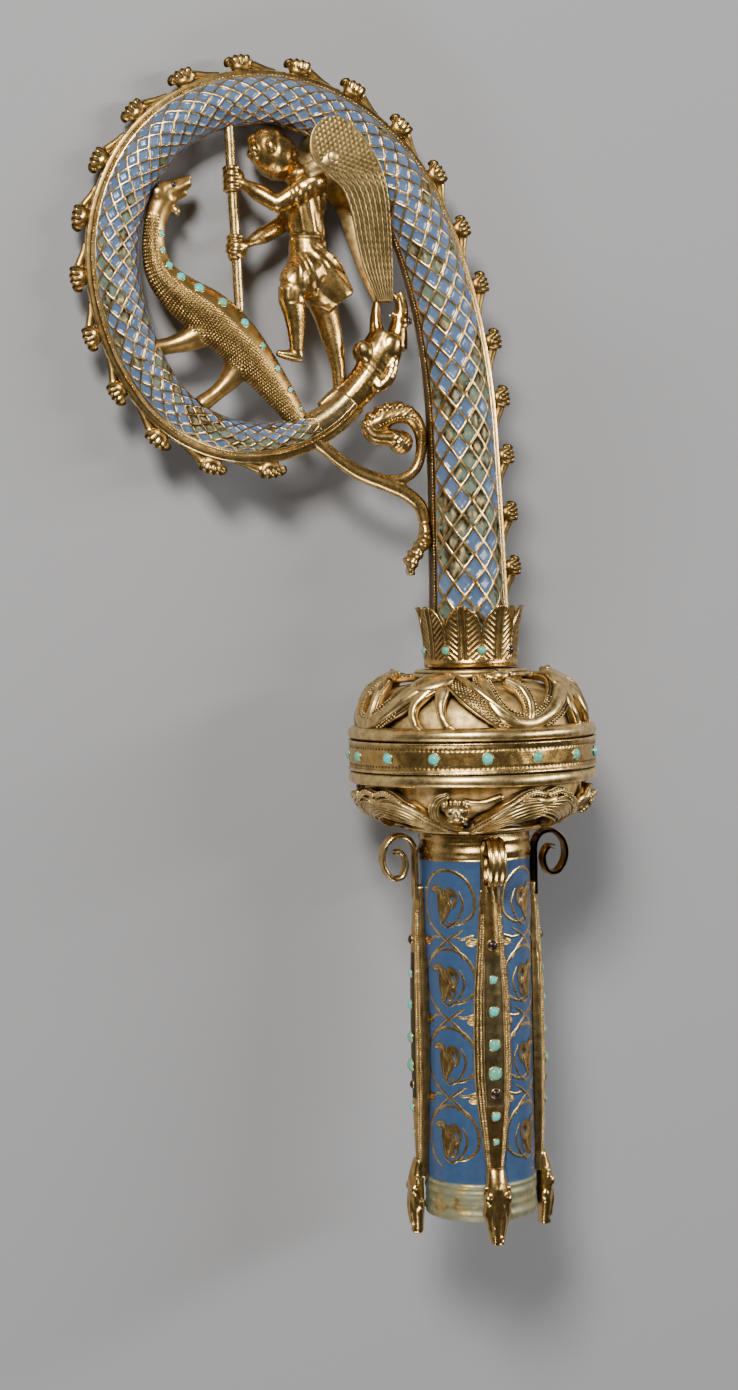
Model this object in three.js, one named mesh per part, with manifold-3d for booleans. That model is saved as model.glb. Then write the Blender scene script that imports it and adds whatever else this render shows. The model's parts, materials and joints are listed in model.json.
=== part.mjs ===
// Head of a bishop's crosier in gilt copper and enamel, lying on its back.
// A serpent's body rises from the knop and rolls into a volute that holds a winged saint and a dragon.
// Every piece is first shaped in the crosier's own upright frame, in millimetres. The staff's axis is Z.
// The volute lies in the XZ plane and opens to -X. Its front looks to -Y. Z = 0 is the middle of the knop.
// The group "laid" then rolls and tips the whole head until it lies at rest on the floor Z = 0.
import * as THREE from "three";
import { mergeVertices } from "three/addons/utils/BufferGeometryUtils.js";
import Module from "manifold-3d";

const wasm = await Module();
wasm.setup();

// ---- Driving dimensions, in millimetres and degrees ----

const GAP = 0.3; // left between pieces that touch
const degrees = THREE.MathUtils.degToRad;

// The crook is a chain of arcs: the length of each stretch, and the angle that it turns through.
const STEM_FOOT_Z = 23.8;
const STEM_LENGTH = 62;
const ARC_LENGTH = 30;
const STEM_TURN = 1.8;
const ARC_TURNS = [9.4, 11.9, 35.6, 43.7, 45.6, 37.5, 27, 54.9, 50.5];
const NECK_LENGTH = 6;
const CROOK_LENGTH = STEM_LENGTH + ARC_LENGTH * ARC_TURNS.length;
// Thickness of the crook, crest included, at distances along it.
const CROOK_THICKNESS = [[0, 21.9], [60, 19.2], [108, 17.2], [163, 13.8], [263, 13.6], [CROOK_LENGTH, 8.4]];
const CREST_HEIGHT = 1.2;
const CREST_HALF_WIDTH = 1.9;

const CROCKETS = 22;
const CROCKET_START = 26;
const CROCKET_PITCH = 15.05; // measured along the outer edge of the crest

const KNOP_RADIUS = 32.9;
const KNOP_UNITS = 4; // the relief of the knop repeats this many times round it
const GIRDLE = { top: 5.4, bottom: -2.4, inner: 30.6 };
const GIRDLE_BEADS = 15;
const GIRDLE_BEAD_RADIUS = 1.5;
const GIRDLE_BEAD_PHASE = -7.3; // angle of the first bead from the front, towards +X
const SEAM_PLACE = 8; // the bead's place that the seam of the girdle takes, at the back

const SOCKET = { top: -19.4, bottom: -120.5, radius: 14.6, bore: 13 };
const LIZARDS = 4;

const CORONET = {
  base: 24,
  notch: 32,
  tip: 40,
  inner: 11.5,
  leaves: 8,
  beadHeight: 28.4,
  beadRadius: 1.15,
};

const LANCE_RADIUS = 1.35;

const BEAD_RISE = 0.6; // a cabochon's height as a share of its radius

// How the head lies: the tip of the staff's axis below level, and the turn about that axis.
const LIE_TIP = 6.7;
const LIE_ROLL = -5.8;
const FLAT_DEPTH = 0.5; // cut off the lowest places, so that the head can't roll

// ---- Shared makers ----

/** A manifold solid from a closed three.js geometry, turned the right way out. */
function solid(geometry) {
  const flat = geometry.clone();
  for (const name of Object.keys(flat.attributes)) {
    if (name !== "position") flat.deleteAttribute(name);
  }
  const merged = mergeVertices(flat, 1e-4);
  const corners = new Uint32Array(merged.index.array);
  const build = () =>
    new wasm.Manifold(
      new wasm.Mesh({ numProp: 3, vertProperties: merged.attributes.position.array, triVerts: corners }),
    );
  const made = build();
  if (made.volume() > 0) return made;
  for (let i = 0; i < corners.length; i += 3) {
    [corners[i + 1], corners[i + 2]] = [corners[i + 2], corners[i + 1]];
  }
  return build();
}

/** The solids joined into one. */
const join = (solids) => solids.reduce((sum, next) => sum.add(next));

/** The largest body of a solid that a cut may have parted. */
function largest(cutSolid) {
  const bodies = cutSolid.decompose();
  return bodies.reduce((best, body) => (body.volume() > best.volume() ? body : best));
}

/** Value at x in a table of [x, value] pairs, straight between them. */
function lookUp(table, x) {
  if (x <= table[0][0]) return table[0][1];
  for (let i = 1; i < table.length; i += 1) {
    const [x0, v0] = table[i - 1];
    const [x1, v1] = table[i];
    if (x <= x1) return v0 + ((v1 - v0) * (x - x0)) / (x1 - x0);
  }
  return table[table.length - 1][1];
}

/** Moves each vertex of a geometry to the place that a function gives for it. */
function shaped(geometry, place) {
  const position = geometry.attributes.position;
  const vertex = new THREE.Vector3();
  for (let i = 0; i < position.count; i += 1) {
    place(vertex.fromBufferAttribute(position, i));
    position.setXYZ(i, vertex.x, vertex.y, vertex.z);
  }
  return geometry;
}

/** A rod with closed ends: place(t, angle, edge) gives the point at t of its length, edge 0 inside a cap. */
function rod(sides, steps, place) {
  return shaped(new THREE.CylinderGeometry(1, 1, 1, sides, steps), (v) => {
    const edge = Math.hypot(v.x, v.z) > 0.5 ? 1 : 0;
    v.copy(place(v.y + 0.5, Math.atan2(v.z, v.x), edge));
  });
}

/**
 * A limb through points, each [x, y, z, half width] or [x, y, z, half width, half depth].
 * Its depth is along depthWay, and turn turns its corners round its middle line.
 */
function limb(points, options = {}) {
  const { sides = 6, steps = points.length - 1, depthWay = new THREE.Vector3(0, 1, 0), turn = 0 } = options;
  const curve = new THREE.CatmullRomCurve3(points.map(([x, y, z]) => new THREE.Vector3(x, y, z)));
  const last = points.length - 1;
  return solid(
    rod(sides, steps, (t, angle, edge) => {
      const centre = curve.getPoint(t);
      const way = curve.getTangent(t);
      const across = new THREE.Vector3().crossVectors(depthWay, way).normalize();
      const depth = new THREE.Vector3().crossVectors(way, across);
      const widths = points.map((p, i) => [i / last, p[3]]);
      const depths = points.map((p, i) => [i / last, p[4] ?? p[3]]);
      return centre
        .addScaledVector(across, edge * lookUp(widths, t) * Math.cos(angle + degrees(turn)))
        .addScaledVector(depth, edge * lookUp(depths, t) * Math.sin(angle + degrees(turn)));
    }),
  );
}

/** An egg-shaped lump with the given half sizes, its long axis tipped in the XZ plane. */
function lump([x, y, z], [rx, ry, rz], { tip = 0, around = 6, rings = 4 } = {}) {
  const geometry = new THREE.SphereGeometry(1, around, rings);
  geometry.rotateX(Math.PI / 2);
  geometry.scale(rx, ry, rz);
  geometry.rotateY(degrees(tip));
  geometry.translate(x, y, z);
  return solid(geometry);
}

/** A plate bent to shape: place(u, w, v) with u across, w through and v along, each from 0 to 1. */
function bentBox(across, through, along, place) {
  return solid(
    shaped(new THREE.BoxGeometry(1, 1, 1, across, through, along), (v) => {
      v.copy(place(v.x + 0.5, v.y + 0.5, v.z + 0.5));
    }),
  );
}

/** A ring turned about Z from a closed profile of [radius, z] points. */
function turned(profile, segments) {
  const points = [...profile, profile[0]].map(([radius, z]) => new THREE.Vector2(radius, z));
  return new THREE.LatheGeometry(points, segments).rotateX(Math.PI / 2);
}

/** The point at a radius and height, at an angle from the front towards +X. */
function roundPoint(angle, radius, z) {
  const a = degrees(angle);
  return new THREE.Vector3(radius * Math.sin(a), -radius * Math.cos(a), z);
}

// ---- The crook ----

/** Place and heading of the crook's middle line at a distance along it from the foot. */
function crookAt(distance) {
  const stretches = [[STEM_LENGTH, STEM_TURN], ...ARC_TURNS.map((turn) => [ARC_LENGTH, turn])];
  let x = 0;
  let z = STEM_FOOT_Z;
  let heading = degrees(90);
  let left = distance;
  for (const [i, [length, turn]] of stretches.entries()) {
    const bend = degrees(turn) / length;
    const run = i === stretches.length - 1 ? left : Math.min(left, length);
    x += (Math.sin(heading + bend * run) - Math.sin(heading)) / bend;
    z -= (Math.cos(heading + bend * run) - Math.cos(heading)) / bend;
    heading += bend * run;
    left -= run;
    if (left <= 0) break;
  }
  return { x, z, heading };
}

/** Point at a distance along the crook, out from its middle line towards the crest, and deep towards +Y. */
function onCrook(distance, out, deep) {
  const { x, z, heading } = crookAt(distance);
  return new THREE.Vector3(x + out * Math.sin(heading), deep, z - out * Math.cos(heading));
}

/** The crook's swept body, grown by an amount on every side. */
function crookBody(grown) {
  const SIDES = 12;
  const STEPS = 38;
  const CREST_SIDES = 2; // corners of the section on each side of the crest's ridge
  const reach = CROOK_LENGTH + NECK_LENGTH;
  return solid(
    rod(SIDES, STEPS, (t, angle, edge) => {
      const distance = t * reach;
      const half = lookUp(CROOK_THICKNESS, distance) / 2 + grown;
      const radius = half - CREST_HEIGHT / 2;
      const middle = -CREST_HEIGHT / 2;
      if (edge === 0) return onCrook(distance, 0, 0);
      const corner = Math.round((angle / (2 * Math.PI)) * SIDES);
      const side = Math.abs(corner);
      if (side === 0) return onCrook(distance, half + 0.1, 0);
      if (side === 1) {
        return onCrook(distance, half - 0.3, Math.sign(corner) * (CREST_HALF_WIDTH - 0.4 + grown));
      }
      if (side === CREST_SIDES) {
        return onCrook(distance, middle + radius - 0.2, Math.sign(corner) * (CREST_HALF_WIDTH + grown));
      }
      const firstAngle = 36;
      const round = firstAngle + ((180 - firstAngle) * (side - 3)) / (SIDES / 2 - 3);
      const a = degrees(round) * Math.sign(corner);
      return onCrook(distance, middle + radius * Math.cos(a), radius * Math.sin(a));
    }),
  );
}

/** One crocket: a stalk that leaves the crest and curls over into a small paw. */
function crocket(distance) {
  const edge = lookUp(CROOK_THICKNESS, distance) / 2;
  // Distance along, height over the crest, half thickness, half width.
  const stalk = [
    [-4.2, -0.4, 0.7, 1.0],
    [-0.9, 1.9, 1.0, 2.3],
    [1.9, 2.4, 1.7, 3.2],
    [3.1, 1.0, 0.8, 2.3],
  ];
  const bend = degrees(45) / ARC_LENGTH;
  const points = stalk.map(([along, high, thick, wide]) => {
    const p = onCrook(distance + along / (1 + bend * edge), edge + high, 0);
    return [p.x, p.y, p.z, thick, wide];
  });
  return limb(points, { sides: 4 });
}

/** Distances along the middle line at which the crockets stand, evenly spaced on the crest's outer edge. */
function crocketPlaces() {
  const STEP = 0.25;
  const places = [CROCKET_START];
  let walked = 0;
  let before = onCrook(CROCKET_START, lookUp(CROOK_THICKNESS, CROCKET_START) / 2, 0);
  for (let d = CROCKET_START + STEP; places.length < CROCKETS; d += STEP) {
    const here = onCrook(d, lookUp(CROOK_THICKNESS, d) / 2 + 1, 0);
    walked += here.distanceTo(before);
    before = here;
    if (walked >= CROCKET_PITCH) {
      places.push(d);
      walked = 0;
    }
  }
  return places;
}

/** The serpent's head at the end of the crook, its mouth open upwards. */
function serpentHead() {
  const { x, z } = crookAt(CROOK_LENGTH);
  const skull = [
    [x, 0, z, 4.2, 4.2],
    [-25.6, 0, 100.6, 5.2, 4.8],
    [-22.6, 0, 106.4, 6.4, 5.6],
    [-20.4, 0, 112.4, 5.0, 4.6],
  ];
  const upperJaw = [
    [-18.6, 0, 108, 3.6, 4.2],
    [-17.4, 0, 115, 2.6, 3.2],
    [-16.6, 0, 119.5, 2.0, 2.4],
    [-17.6, 0, 123, 1.2, 1.4],
  ];
  const lowerJaw = [
    [-22.6, 0, 108, 3.2, 3.8],
    [-23.6, 0, 114.5, 1.9, 2.6],
    [-23.4, 0, 120.4, 1.1, 1.4],
  ];
  const parts = [limb(skull, { sides: 8, steps: 4 }), limb(upperJaw), limb(lowerJaw)];
  for (const side of [-1, 1]) {
    parts.push(lump([-16.2, side * 3.6, 114.4], [1.3, 1.0, 1.3]));
    parts.push(lump([-27.6, side * 3.4, 106.8], [2.4, 1.8, 3.2], { tip: -25 }));
    parts.push(lump([-22.8, side * 3.0, 97.2], [2.8, 1.8, 2.4], { tip: 20 }));
  }
  return join(parts);
}

function makeCrook() {
  return join([crookBody(0), serpentHead(), ...crocketPlaces().map(crocket)]);
}

// ---- The dragon ----

const DRAGON_SPINE = [
  [-43.6, 0, 86.6, 2.8],
  [-46.4, 0, 91.2, 3.2],
  [-50.4, 0, 97.0, 4.2],
  [-55.4, 0, 103.6, 5.3],
  [-61.0, 0, 110.3, 6.2],
  [-67.6, 0, 116.4, 6.3],
  [-74.3, 0, 121.0, 5.4],
  [-79.2, 0, 126.0, 4.2],
  [-81.2, 0, 131.6, 3.2],
  [-81.2, 0, 137.4, 2.8],
  [-80.0, 0, 142.6, 3.1],
  [-78.0, 0, 146.4, 3.4],
];

const DRAGON_FLATNESS = 0.85; // half depth of the body as a share of its half width

// The dragon's cabochons: their radii from the neck to the tail, where they stand on the spine, counted in
// its stations, and their lean from the front towards the ridge of the back.
const DRAGON_BEAD_RADII = [0.8, 0.8, 1.05, 1.2, 1.4, 1.3, 1.25, 0.95, 0.85, 0.75, 0.55];
const DRAGON_BEADS_FROM = 8.9;
const DRAGON_BEAD_STEP = -0.8;
const DRAGON_BEAD_LEAN = 40;

function dragonBody(grown) {
  const points = DRAGON_SPINE.map(([x, y, z, r]) => [x, y, z, r + grown, DRAGON_FLATNESS * r + grown]);
  const foreLeg = [
    [-68.2, 0, 112.4, 4.6, 4.4],
    [-73.6, 0, 109.4, 2.7, 3.0],
    [-78.4, 0, 108.2, 2.1, 2.6],
    [-84.6, 0, 107.2, 2.6, 3.2],
  ];
  const hindLeg = [
    [-59.6, 0, 105.6, 4.4, 4.2],
    [-62.4, 0, 99.8, 2.6, 3.0],
    [-66.4, 0, 96.2, 2.0, 2.6],
    [-70.6, 0, 92.6, 2.4, 3.2],
  ];
  const legs = [foreLeg, hindLeg].map((leg) => leg.map(([x, y, z, w, d]) => [x, y, z, w + grown, d + grown]));
  const parts = [limb(points, { sides: 7, steps: 11 }), ...legs.map((leg) => limb(leg))];
  return join(parts);
}

function makeDragon(crookRoom) {
  const muzzle = [
    [-79.0, 0, 146.2, 3.2, 2.9],
    [-75.2, 0, 148.4, 2.5, 2.5],
    [-71.4, 0, 150.0, 1.6, 1.8],
  ];
  const jaw = [
    [-78.4, 0, 144.4, 2.4, 2.2],
    [-75.4, 0, 143.6, 1.7, 1.7],
    [-74.2, 0, 141.2, 1.1, 1.2],
  ];
  const parts = [dragonBody(0), limb(muzzle), limb(jaw)];
  for (const side of [-1, 1]) {
    parts.push(lump([-80.4, side * 2.4, 147.6], [1.5, 1.2, 1.7]));
    parts.push(lump([-76.2, side * 2.3, 148.2], [0.9, 0.8, 0.9]));
  }
  return largest(join(parts).subtract(crookRoom));
}

// ---- The saint ----

const LANCE_TOP = [-61.3, 166];
const LANCE_FOOT = [-59.5, 116];

/** The lance, grown by an amount for the room that it needs in the fists. */
function lanceRod(grown) {
  const radius = LANCE_RADIUS + grown;
  const ends = [LANCE_FOOT, LANCE_TOP].map(([x, z]) => [x, 0, z, radius]);
  return limb(ends, { sides: 8 });
}

/** The draped skirt, its folds deepest at the hem. */
function skirt() {
  const FOLDS = 6;
  const SIDES = 18;
  // Height, middle in X, half width in X, half depth.
  const levels = [
    [136.4, -41.5, 5.5, 4.8],
    [129.0, -40.5, 7.3, 6.0],
    [122.6, -38.6, 8.8, 6.6],
    [119.4, -36.4, 7.6, 6.2],
  ];
  const last = levels.length - 1;
  const column = (k) => levels.map((level, i) => [i / last, level[k]]);
  return solid(
    rod(SIDES, last, (t, angle, edge) => {
      const fold = 1 + 0.12 * t * Math.cos(FOLDS * angle);
      const x = lookUp(column(1), t) + edge * fold * lookUp(column(2), t) * Math.cos(angle);
      const y = edge * fold * lookUp(column(3), t) * Math.sin(angle);
      const hemDip = 1.6 * t * Math.max(0, Math.cos(angle));
      return new THREE.Vector3(x, y, lookUp(column(0), t) + edge * hemDip);
    }),
  );
}

/** One arm from shoulder to fist. */
function arm(side, elbow, fist) {
  const shoulder = [-39.6, side * 4.8, 149.6];
  return join([
    limb(
      [
        [...shoulder, 3.0],
        [(shoulder[0] + elbow[0]) / 2, (shoulder[1] + elbow[1]) / 2, (shoulder[2] + elbow[2]) / 2, 2.8],
        [...elbow, 2.5],
      ],
    ),
    limb([[...elbow, 2.4], [...fist.map((c, i) => (c + elbow[i]) / 2), 2.1], [...fist, 1.7]]),
    lump(fist, [3.1, 3.0, 3.5], { around: 7, rings: 5 }),
  ]);
}

/** The head: a plain egg with nose and chin on even proportions, and a close cap of hair. */
function saintHead() {
  const middle = [-50.4, 0, 157.9];
  const faceWay = -118; // the way the face looks, from +Z towards -X and down
  const way = new THREE.Vector3(Math.sin(degrees(faceWay)), 0, Math.cos(degrees(faceWay)));
  const down = new THREE.Vector3(way.z, 0, -way.x);
  const at = (forward, low, side) => [
    middle[0] + way.x * forward + down.x * low,
    side,
    middle[2] + way.z * forward + down.z * low,
  ];
  const tip = faceWay + 90;
  const parts = [
    lump(middle, [5.6, 5.3, 7.1], { tip, around: 8, rings: 6 }),
    lump(at(-0.9, -1.3, 0), [5.9, 5.8, 6.3], { tip, around: 8, rings: 5 }),
    lump(at(5.2, 1.0, 0), [1.2, 1.0, 1.8], { tip }),
    lump(at(3.7, 5.4, 0), [1.9, 2.0, 1.6], { tip }),
  ];
  for (const side of [-1, 1]) {
    parts.push(lump(at(0.1, 0.8, side * 5.4), [1.2, 0.8, 1.8], { tip }));
  }
  return join(parts);
}

function makeSaint(crookRoom, dragonRoom, lanceRoom) {
  const torso = [
    [-41.4, 0, 134.5, 5.3, 4.7],
    [-41.8, 0, 141.0, 5.2, 4.9],
    [-41.4, 0, 147.0, 5.6, 5.6],
    [-41.6, 0, 151.6, 4.4, 4.8],
    [-43.0, 0, 153.6, 2.6, 3.0],
  ];
  const neck = [
    [-42.6, 0, 150.6, 3.2],
    [-47.6, 0, 155.2, 2.8],
  ];
  const raisedLeg = [
    [-42.4, -1.6, 124.4, 5.0, 4.0],
    [-46.2, -2.4, 121.4, 3.9, 3.6],
    [-45.2, -2.4, 115.2, 2.9, 2.8],
    [-45.0, -2.0, 108.8, 1.9, 2.0],
    [-45.0, -1.8, 105.6, 1.7, 1.9],
  ];
  const raisedFoot = [
    [-43.6, -1.8, 105.2, 1.7, 1.9],
    [-47.2, -1.8, 105.8, 1.5, 1.9],
    [-50.6, -1.8, 106.4, 0.9, 1.4],
  ];
  const standingLeg = [
    [-38.0, 2.0, 122.6, 4.6, 4.0],
    [-36.0, 2.0, 115.4, 3.1, 3.0],
    [-34.6, 1.8, 108.8, 2.5, 2.5],
    [-33.4, 1.6, 101.6, 1.9, 2.0],
    [-33.4, 1.6, 97.6, 1.8, 1.9],
  ];
  const standingFoot = [
    [-32.2, 1.6, 97.4, 1.7, 1.9],
    [-36.0, 1.4, 95.2, 1.5, 1.9],
    [-39.2, 1.2, 92.8, 1.0, 1.4],
  ];
  const belt = [
    [-41.6, 0, 135.4, 6.0, 5.3],
    [-41.5, 0, 137.2, 6.0, 5.3],
  ];
  const parts = [
    limb(torso, { sides: 8 }),
    limb(neck),
    limb(belt, { sides: 8 }),
    skirt(),
    limb(raisedLeg),
    limb(raisedFoot),
    limb(standingLeg),
    limb(standingFoot),
    arm(-1, [-49.6, -4.4, 144.0], [-60.6, 0, 151.0]),
    arm(1, [-47.6, 3.8, 140.0], [-60.1, 0, 133.4]),
    saintHead(),
  ];
  const whole = join(parts).subtract(crookRoom).subtract(dragonRoom);
  return largest(whole.subtract(lanceRoom));
}

/** A wing: a curved plate with a scaly shoulder and long feathers, and a tab riveted to the saint. */
function makeWing(side, crookRoom) {
  const THICKNESS = 1.1;
  const FEATHERS = 3;
  const FOOT = 119.6;
  const TOP = 166;
  // Edges of the plate as [height, X], and how far it stands off the middle plane.
  const leadingEdge = [
    [120, -19.6],
    [127, -19.6],
    [139.5, -20.6],
    [150, -22.4],
    [157.5, -25.6],
    [163, -29.6],
    [TOP, -34],
  ];
  const trailingEdge = [
    [120, -24.2],
    [129, -28.0],
    [140.8, -31.0],
    [148, -35.0],
    [153, -41.6],
    [161, -41.8],
    [TOP, -37],
  ];
  const standOff = [
    [120, 1.4],
    [130, 3.2],
    [140, 6.0],
    [148, 8.2],
    [156, 8.9],
    [TOP, 8.9],
  ];
  const plate = bentBox(FEATHERS, 1, 7, (u, w, v) => {
    const z = FOOT + (TOP - FOOT) * (1 - (1 - v) ** 1.15);
    const from = lookUp(trailingEdge, z);
    const to = lookUp(leadingEdge, z);
    const x = from + (to - from) * u;
    const y = side * (lookUp(standOff, z) + w * THICKNESS);
    return new THREE.Vector3(x, y, z);
  });
  const tab = [
    [-42.0, side * 7.6, 152.2, 1.8, 1.0],
    [-36.4, side * 9.3, 155.2, 2.6, 1.0],
  ];
  const rivet = lump([-36.2, side * 10.0, 155.4], [1.7, 0.9, 1.7]);
  const whole = join([plate, limb(tab, { sides: 6 }), rivet]);
  return largest(whole.subtract(crookRoom));
}

// ---- The tendril ----

function makeTendril(crookRoom) {
  const stalk = [
    [-41.6, 0, 84.6, 2.0],
    [-38.2, 0, 82.0, 1.8],
    [-33.6, 0, 78.2, 1.8],
    [-28.4, 0, 75.0, 1.9],
    [-22.2, 0, 72.6, 2.0],
    [-16.8, 0, 70.0, 1.8],
    [-12.9, 0, 66.6, 1.8],
    [-11.4, 0, 62.0, 1.8],
    [-11.6, 0, 57.6, 2.4],
    [-13.2, 0, 53.8, 3.0],
    [-15.2, 0, 49.4, 1.7],
  ];
  const branch = [
    [-23.0, 0, 72.9, 1.5],
    [-17.6, 0, 73.6, 1.6],
    [-13.7, 0, 76.4, 1.6],
    [-12.3, 0, 81.4, 1.6],
    [-12.6, 0, 86.4, 1.8],
    [-15.0, 0, 90.4, 2.4],
    [-19.6, 0, 91.4, 2.9],
    [-23.8, 0, 88.6, 3.1],
    [-23.4, 0, 84.6, 2.8],
    [-19.6, 0, 82.6, 2.4],
  ];
  const parts = [
    limb(stalk, { steps: 11 }),
    limb(branch, { steps: 10 }),
    lump([-17.6, 0, 83.4], [3.2, 3.4, 3.2]),
    lump([-26.2, 0, 87.2], [2.3, 2.4, 2.6]),
    lump([-24.2, 0, 91.4], [2.2, 2.4, 2.0]),
    lump([-19.4, 0, 93.4], [2.4, 2.4, 1.8]),
    lump([-13.4, 0, 55.6], [2.6, 2.8, 2.4]),
    lump([-15.2, 0, 51.4], [1.9, 2.4, 2.2]),
  ];
  return largest(join(parts).subtract(crookRoom));
}

// ---- The coronet, knop and girdle ----

function makeCoronet() {
  const SEGMENTS = CORONET.leaves * 4;
  const wall = 1.0;
  const rise = CORONET.tip - CORONET.base;
  const { inner } = CORONET;
  const profile = [
    [inner, CORONET.base],
    [inner + wall, CORONET.base],
    [inner + wall, CORONET.base + 0.35 * rise],
    [inner + wall, CORONET.base + 0.7 * rise],
    [inner + wall, CORONET.tip],
    [inner + wall / 2, CORONET.tip],
    [inner, CORONET.base + 0.6 * rise],
  ];
  const ring = shaped(turned(profile, SEGMENTS), (v) => {
    const angle = Math.atan2(v.y, v.x);
    const wave = Math.abs(Math.sin((CORONET.leaves * angle) / 2));
    const top = CORONET.notch + (CORONET.tip - CORONET.notch) * Math.sqrt(wave);
    const share = (v.z - CORONET.base) / rise;
    const flare = 1.9 * share ** 2.2;
    const radius = Math.hypot(v.x, v.y);
    const scale = (radius + flare) / radius;
    v.set(v.x * scale, v.y * scale, CORONET.base + share * (top - CORONET.base));
  });
  return solid(ring);
}

// Outline of the knop's two bowls as [distance from the rim, radius, height] on the outer face of the relief.
const UPPER_BOWL = [
  [0, 31.8, 6.6],
  [5.4, 31.4, 12.0],
  [9.7, 29.7, 16.0],
  [13.3, 27.6, 19.1],
  [17.2, 24.4, 21.4],
  [20.7, 21.0, 22.4],
  [28, 13.8, 22.9],
];
const LOWER_BOWL = [
  [-2, 32.1, -4.4],
  [0, 32.0, -6.4],
  [4.0, 31.6, -10.2],
  [8.8, 28.6, -13.8],
  [15.6, 22.8, -17.2],
  [22, 16.6, -18.9],
];

/** Point on a bowl of the knop: angle from the front, distance from the rim, height over the outer face. */
function onBowl(bowl, angle, distance, high) {
  const radiusOf = bowl.map(([d, r]) => [d, r]);
  const heightOf = bowl.map(([d, , z]) => [d, z]);
  const slope = 0.5;
  const before = new THREE.Vector2(lookUp(radiusOf, distance - slope), lookUp(heightOf, distance - slope));
  const after = new THREE.Vector2(lookUp(radiusOf, distance + slope), lookUp(heightOf, distance + slope));
  const along = after.sub(before).normalize();
  const turn = bowl[0][2] > 0 ? 1 : -1;
  const radius = lookUp(radiusOf, distance) + turn * along.y * high;
  const z = lookUp(heightOf, distance) - turn * along.x * high;
  return roundPoint(angle, radius, z);
}

/** A ridged ribbon over a bowl, through stations of [angle, distance, half width, height of its ridge]. */
function ribbon(bowl, stations, { steps = stations.length - 1 } = {}) {
  const line = new THREE.CatmullRomCurve3(stations.map(([angle, d]) => new THREE.Vector3(angle, d, 0)));
  const last = stations.length - 1;
  const widths = stations.map((s, i) => [i / last, s[2]]);
  const thicks = stations.map((s, i) => [i / last, s[3]]);
  const SINK = 1.5; // depth of the ribbon's edges below the outer face
  const UNDER = 0.9; // thickness below its edges
  const at = (t) => {
    const p = line.getPoint(THREE.MathUtils.clamp(t, 0, 1));
    return onBowl(bowl, p.x, p.y, -SINK);
  };
  return solid(
    rod(4, steps, (t, angle, edge) => {
      const centre = at(t);
      const way = at(t + 0.02).sub(at(t - 0.02)).normalize();
      const p = line.getPoint(t);
      const outward = onBowl(bowl, p.x, p.y, 1).sub(onBowl(bowl, p.x, p.y, 0)).normalize();
      const across = new THREE.Vector3().crossVectors(outward, way).normalize();
      return centre
        .addScaledVector(across, edge * lookUp(widths, t) * Math.cos(angle))
        .addScaledVector(outward, edge * (Math.sin(angle) > 0 ? lookUp(thicks, t) : UNDER) * Math.sin(angle));
    }),
  );
}

/** Upper openwork: four long-necked dragons whose bodies loop into each other, between two rings. */
function makeKnopUpper() {
  const rimProfile = [
    [30.2, 5.8],
    [32.5, 5.8],
    [32.9, 7.2],
    [32.2, 8.6],
    [30.2, 8.8],
  ];
  const collarProfile = [
    [11.9, 21.4],
    [15.6, 21.2],
    [14.4, 23.5],
    [11.9, 23.5],
  ];
  const rim = solid(turned(rimProfile, 20));
  const collar = solid(turned(collarProfile, 12));
  const body = [
    [-66, 27.8, 1.6, 1.2],
    [-66, 15, 2.4, 1.5],
    [-58, 5.6, 2.9, 1.6],
    [-44, 3.4, 3.0, 1.6],
    [-31, 6.5, 3.2, 1.7],
    [-14, 14, 4.2, 2.0],
    [4, 22, 4.2, 1.6],
  ];
  const sash = [
    [2, 19, 2.6, 1.3],
    [18, 10, 2.6, 1.4],
    [34, 2.6, 2.4, 1.3],
  ];
  const neck = [
    [-45, 3, 1.8, 1.3],
    [-43, 9, 1.7, 1.3],
    [-46, 14.5, 2.0, 1.7],
    [-52, 17.5, 1.5, 1.3],
  ];
  const hindLeg = [
    [-6, 13, 2.0, 1.4],
    [-8, 6.5, 1.3, 1.2],
    [-5, 1.2, 1.4, 1.0],
  ];
  const foreLeg = [
    [3, 13, 2.0, 1.4],
    [4, 6.5, 1.3, 1.2],
    [8, 1.2, 1.4, 1.0],
  ];
  const unitAngle = 360 / KNOP_UNITS;
  const parts = [rim, collar];
  for (let unit = 0; unit < KNOP_UNITS; unit += 1) {
    const start = -30.5 + unit * unitAngle;
    const placed = (stations) => stations.map(([angle, ...rest]) => [angle + start, ...rest]);
    parts.push(ribbon(UPPER_BOWL, placed(body), { steps: 8 }));
    parts.push(ribbon(UPPER_BOWL, placed(sash), { steps: 3 }));
    parts.push(ribbon(UPPER_BOWL, placed(neck), { steps: 4 }));
    parts.push(ribbon(UPPER_BOWL, placed(hindLeg)));
    parts.push(ribbon(UPPER_BOWL, placed(foreLeg)));
  }
  return join(parts);
}

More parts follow.
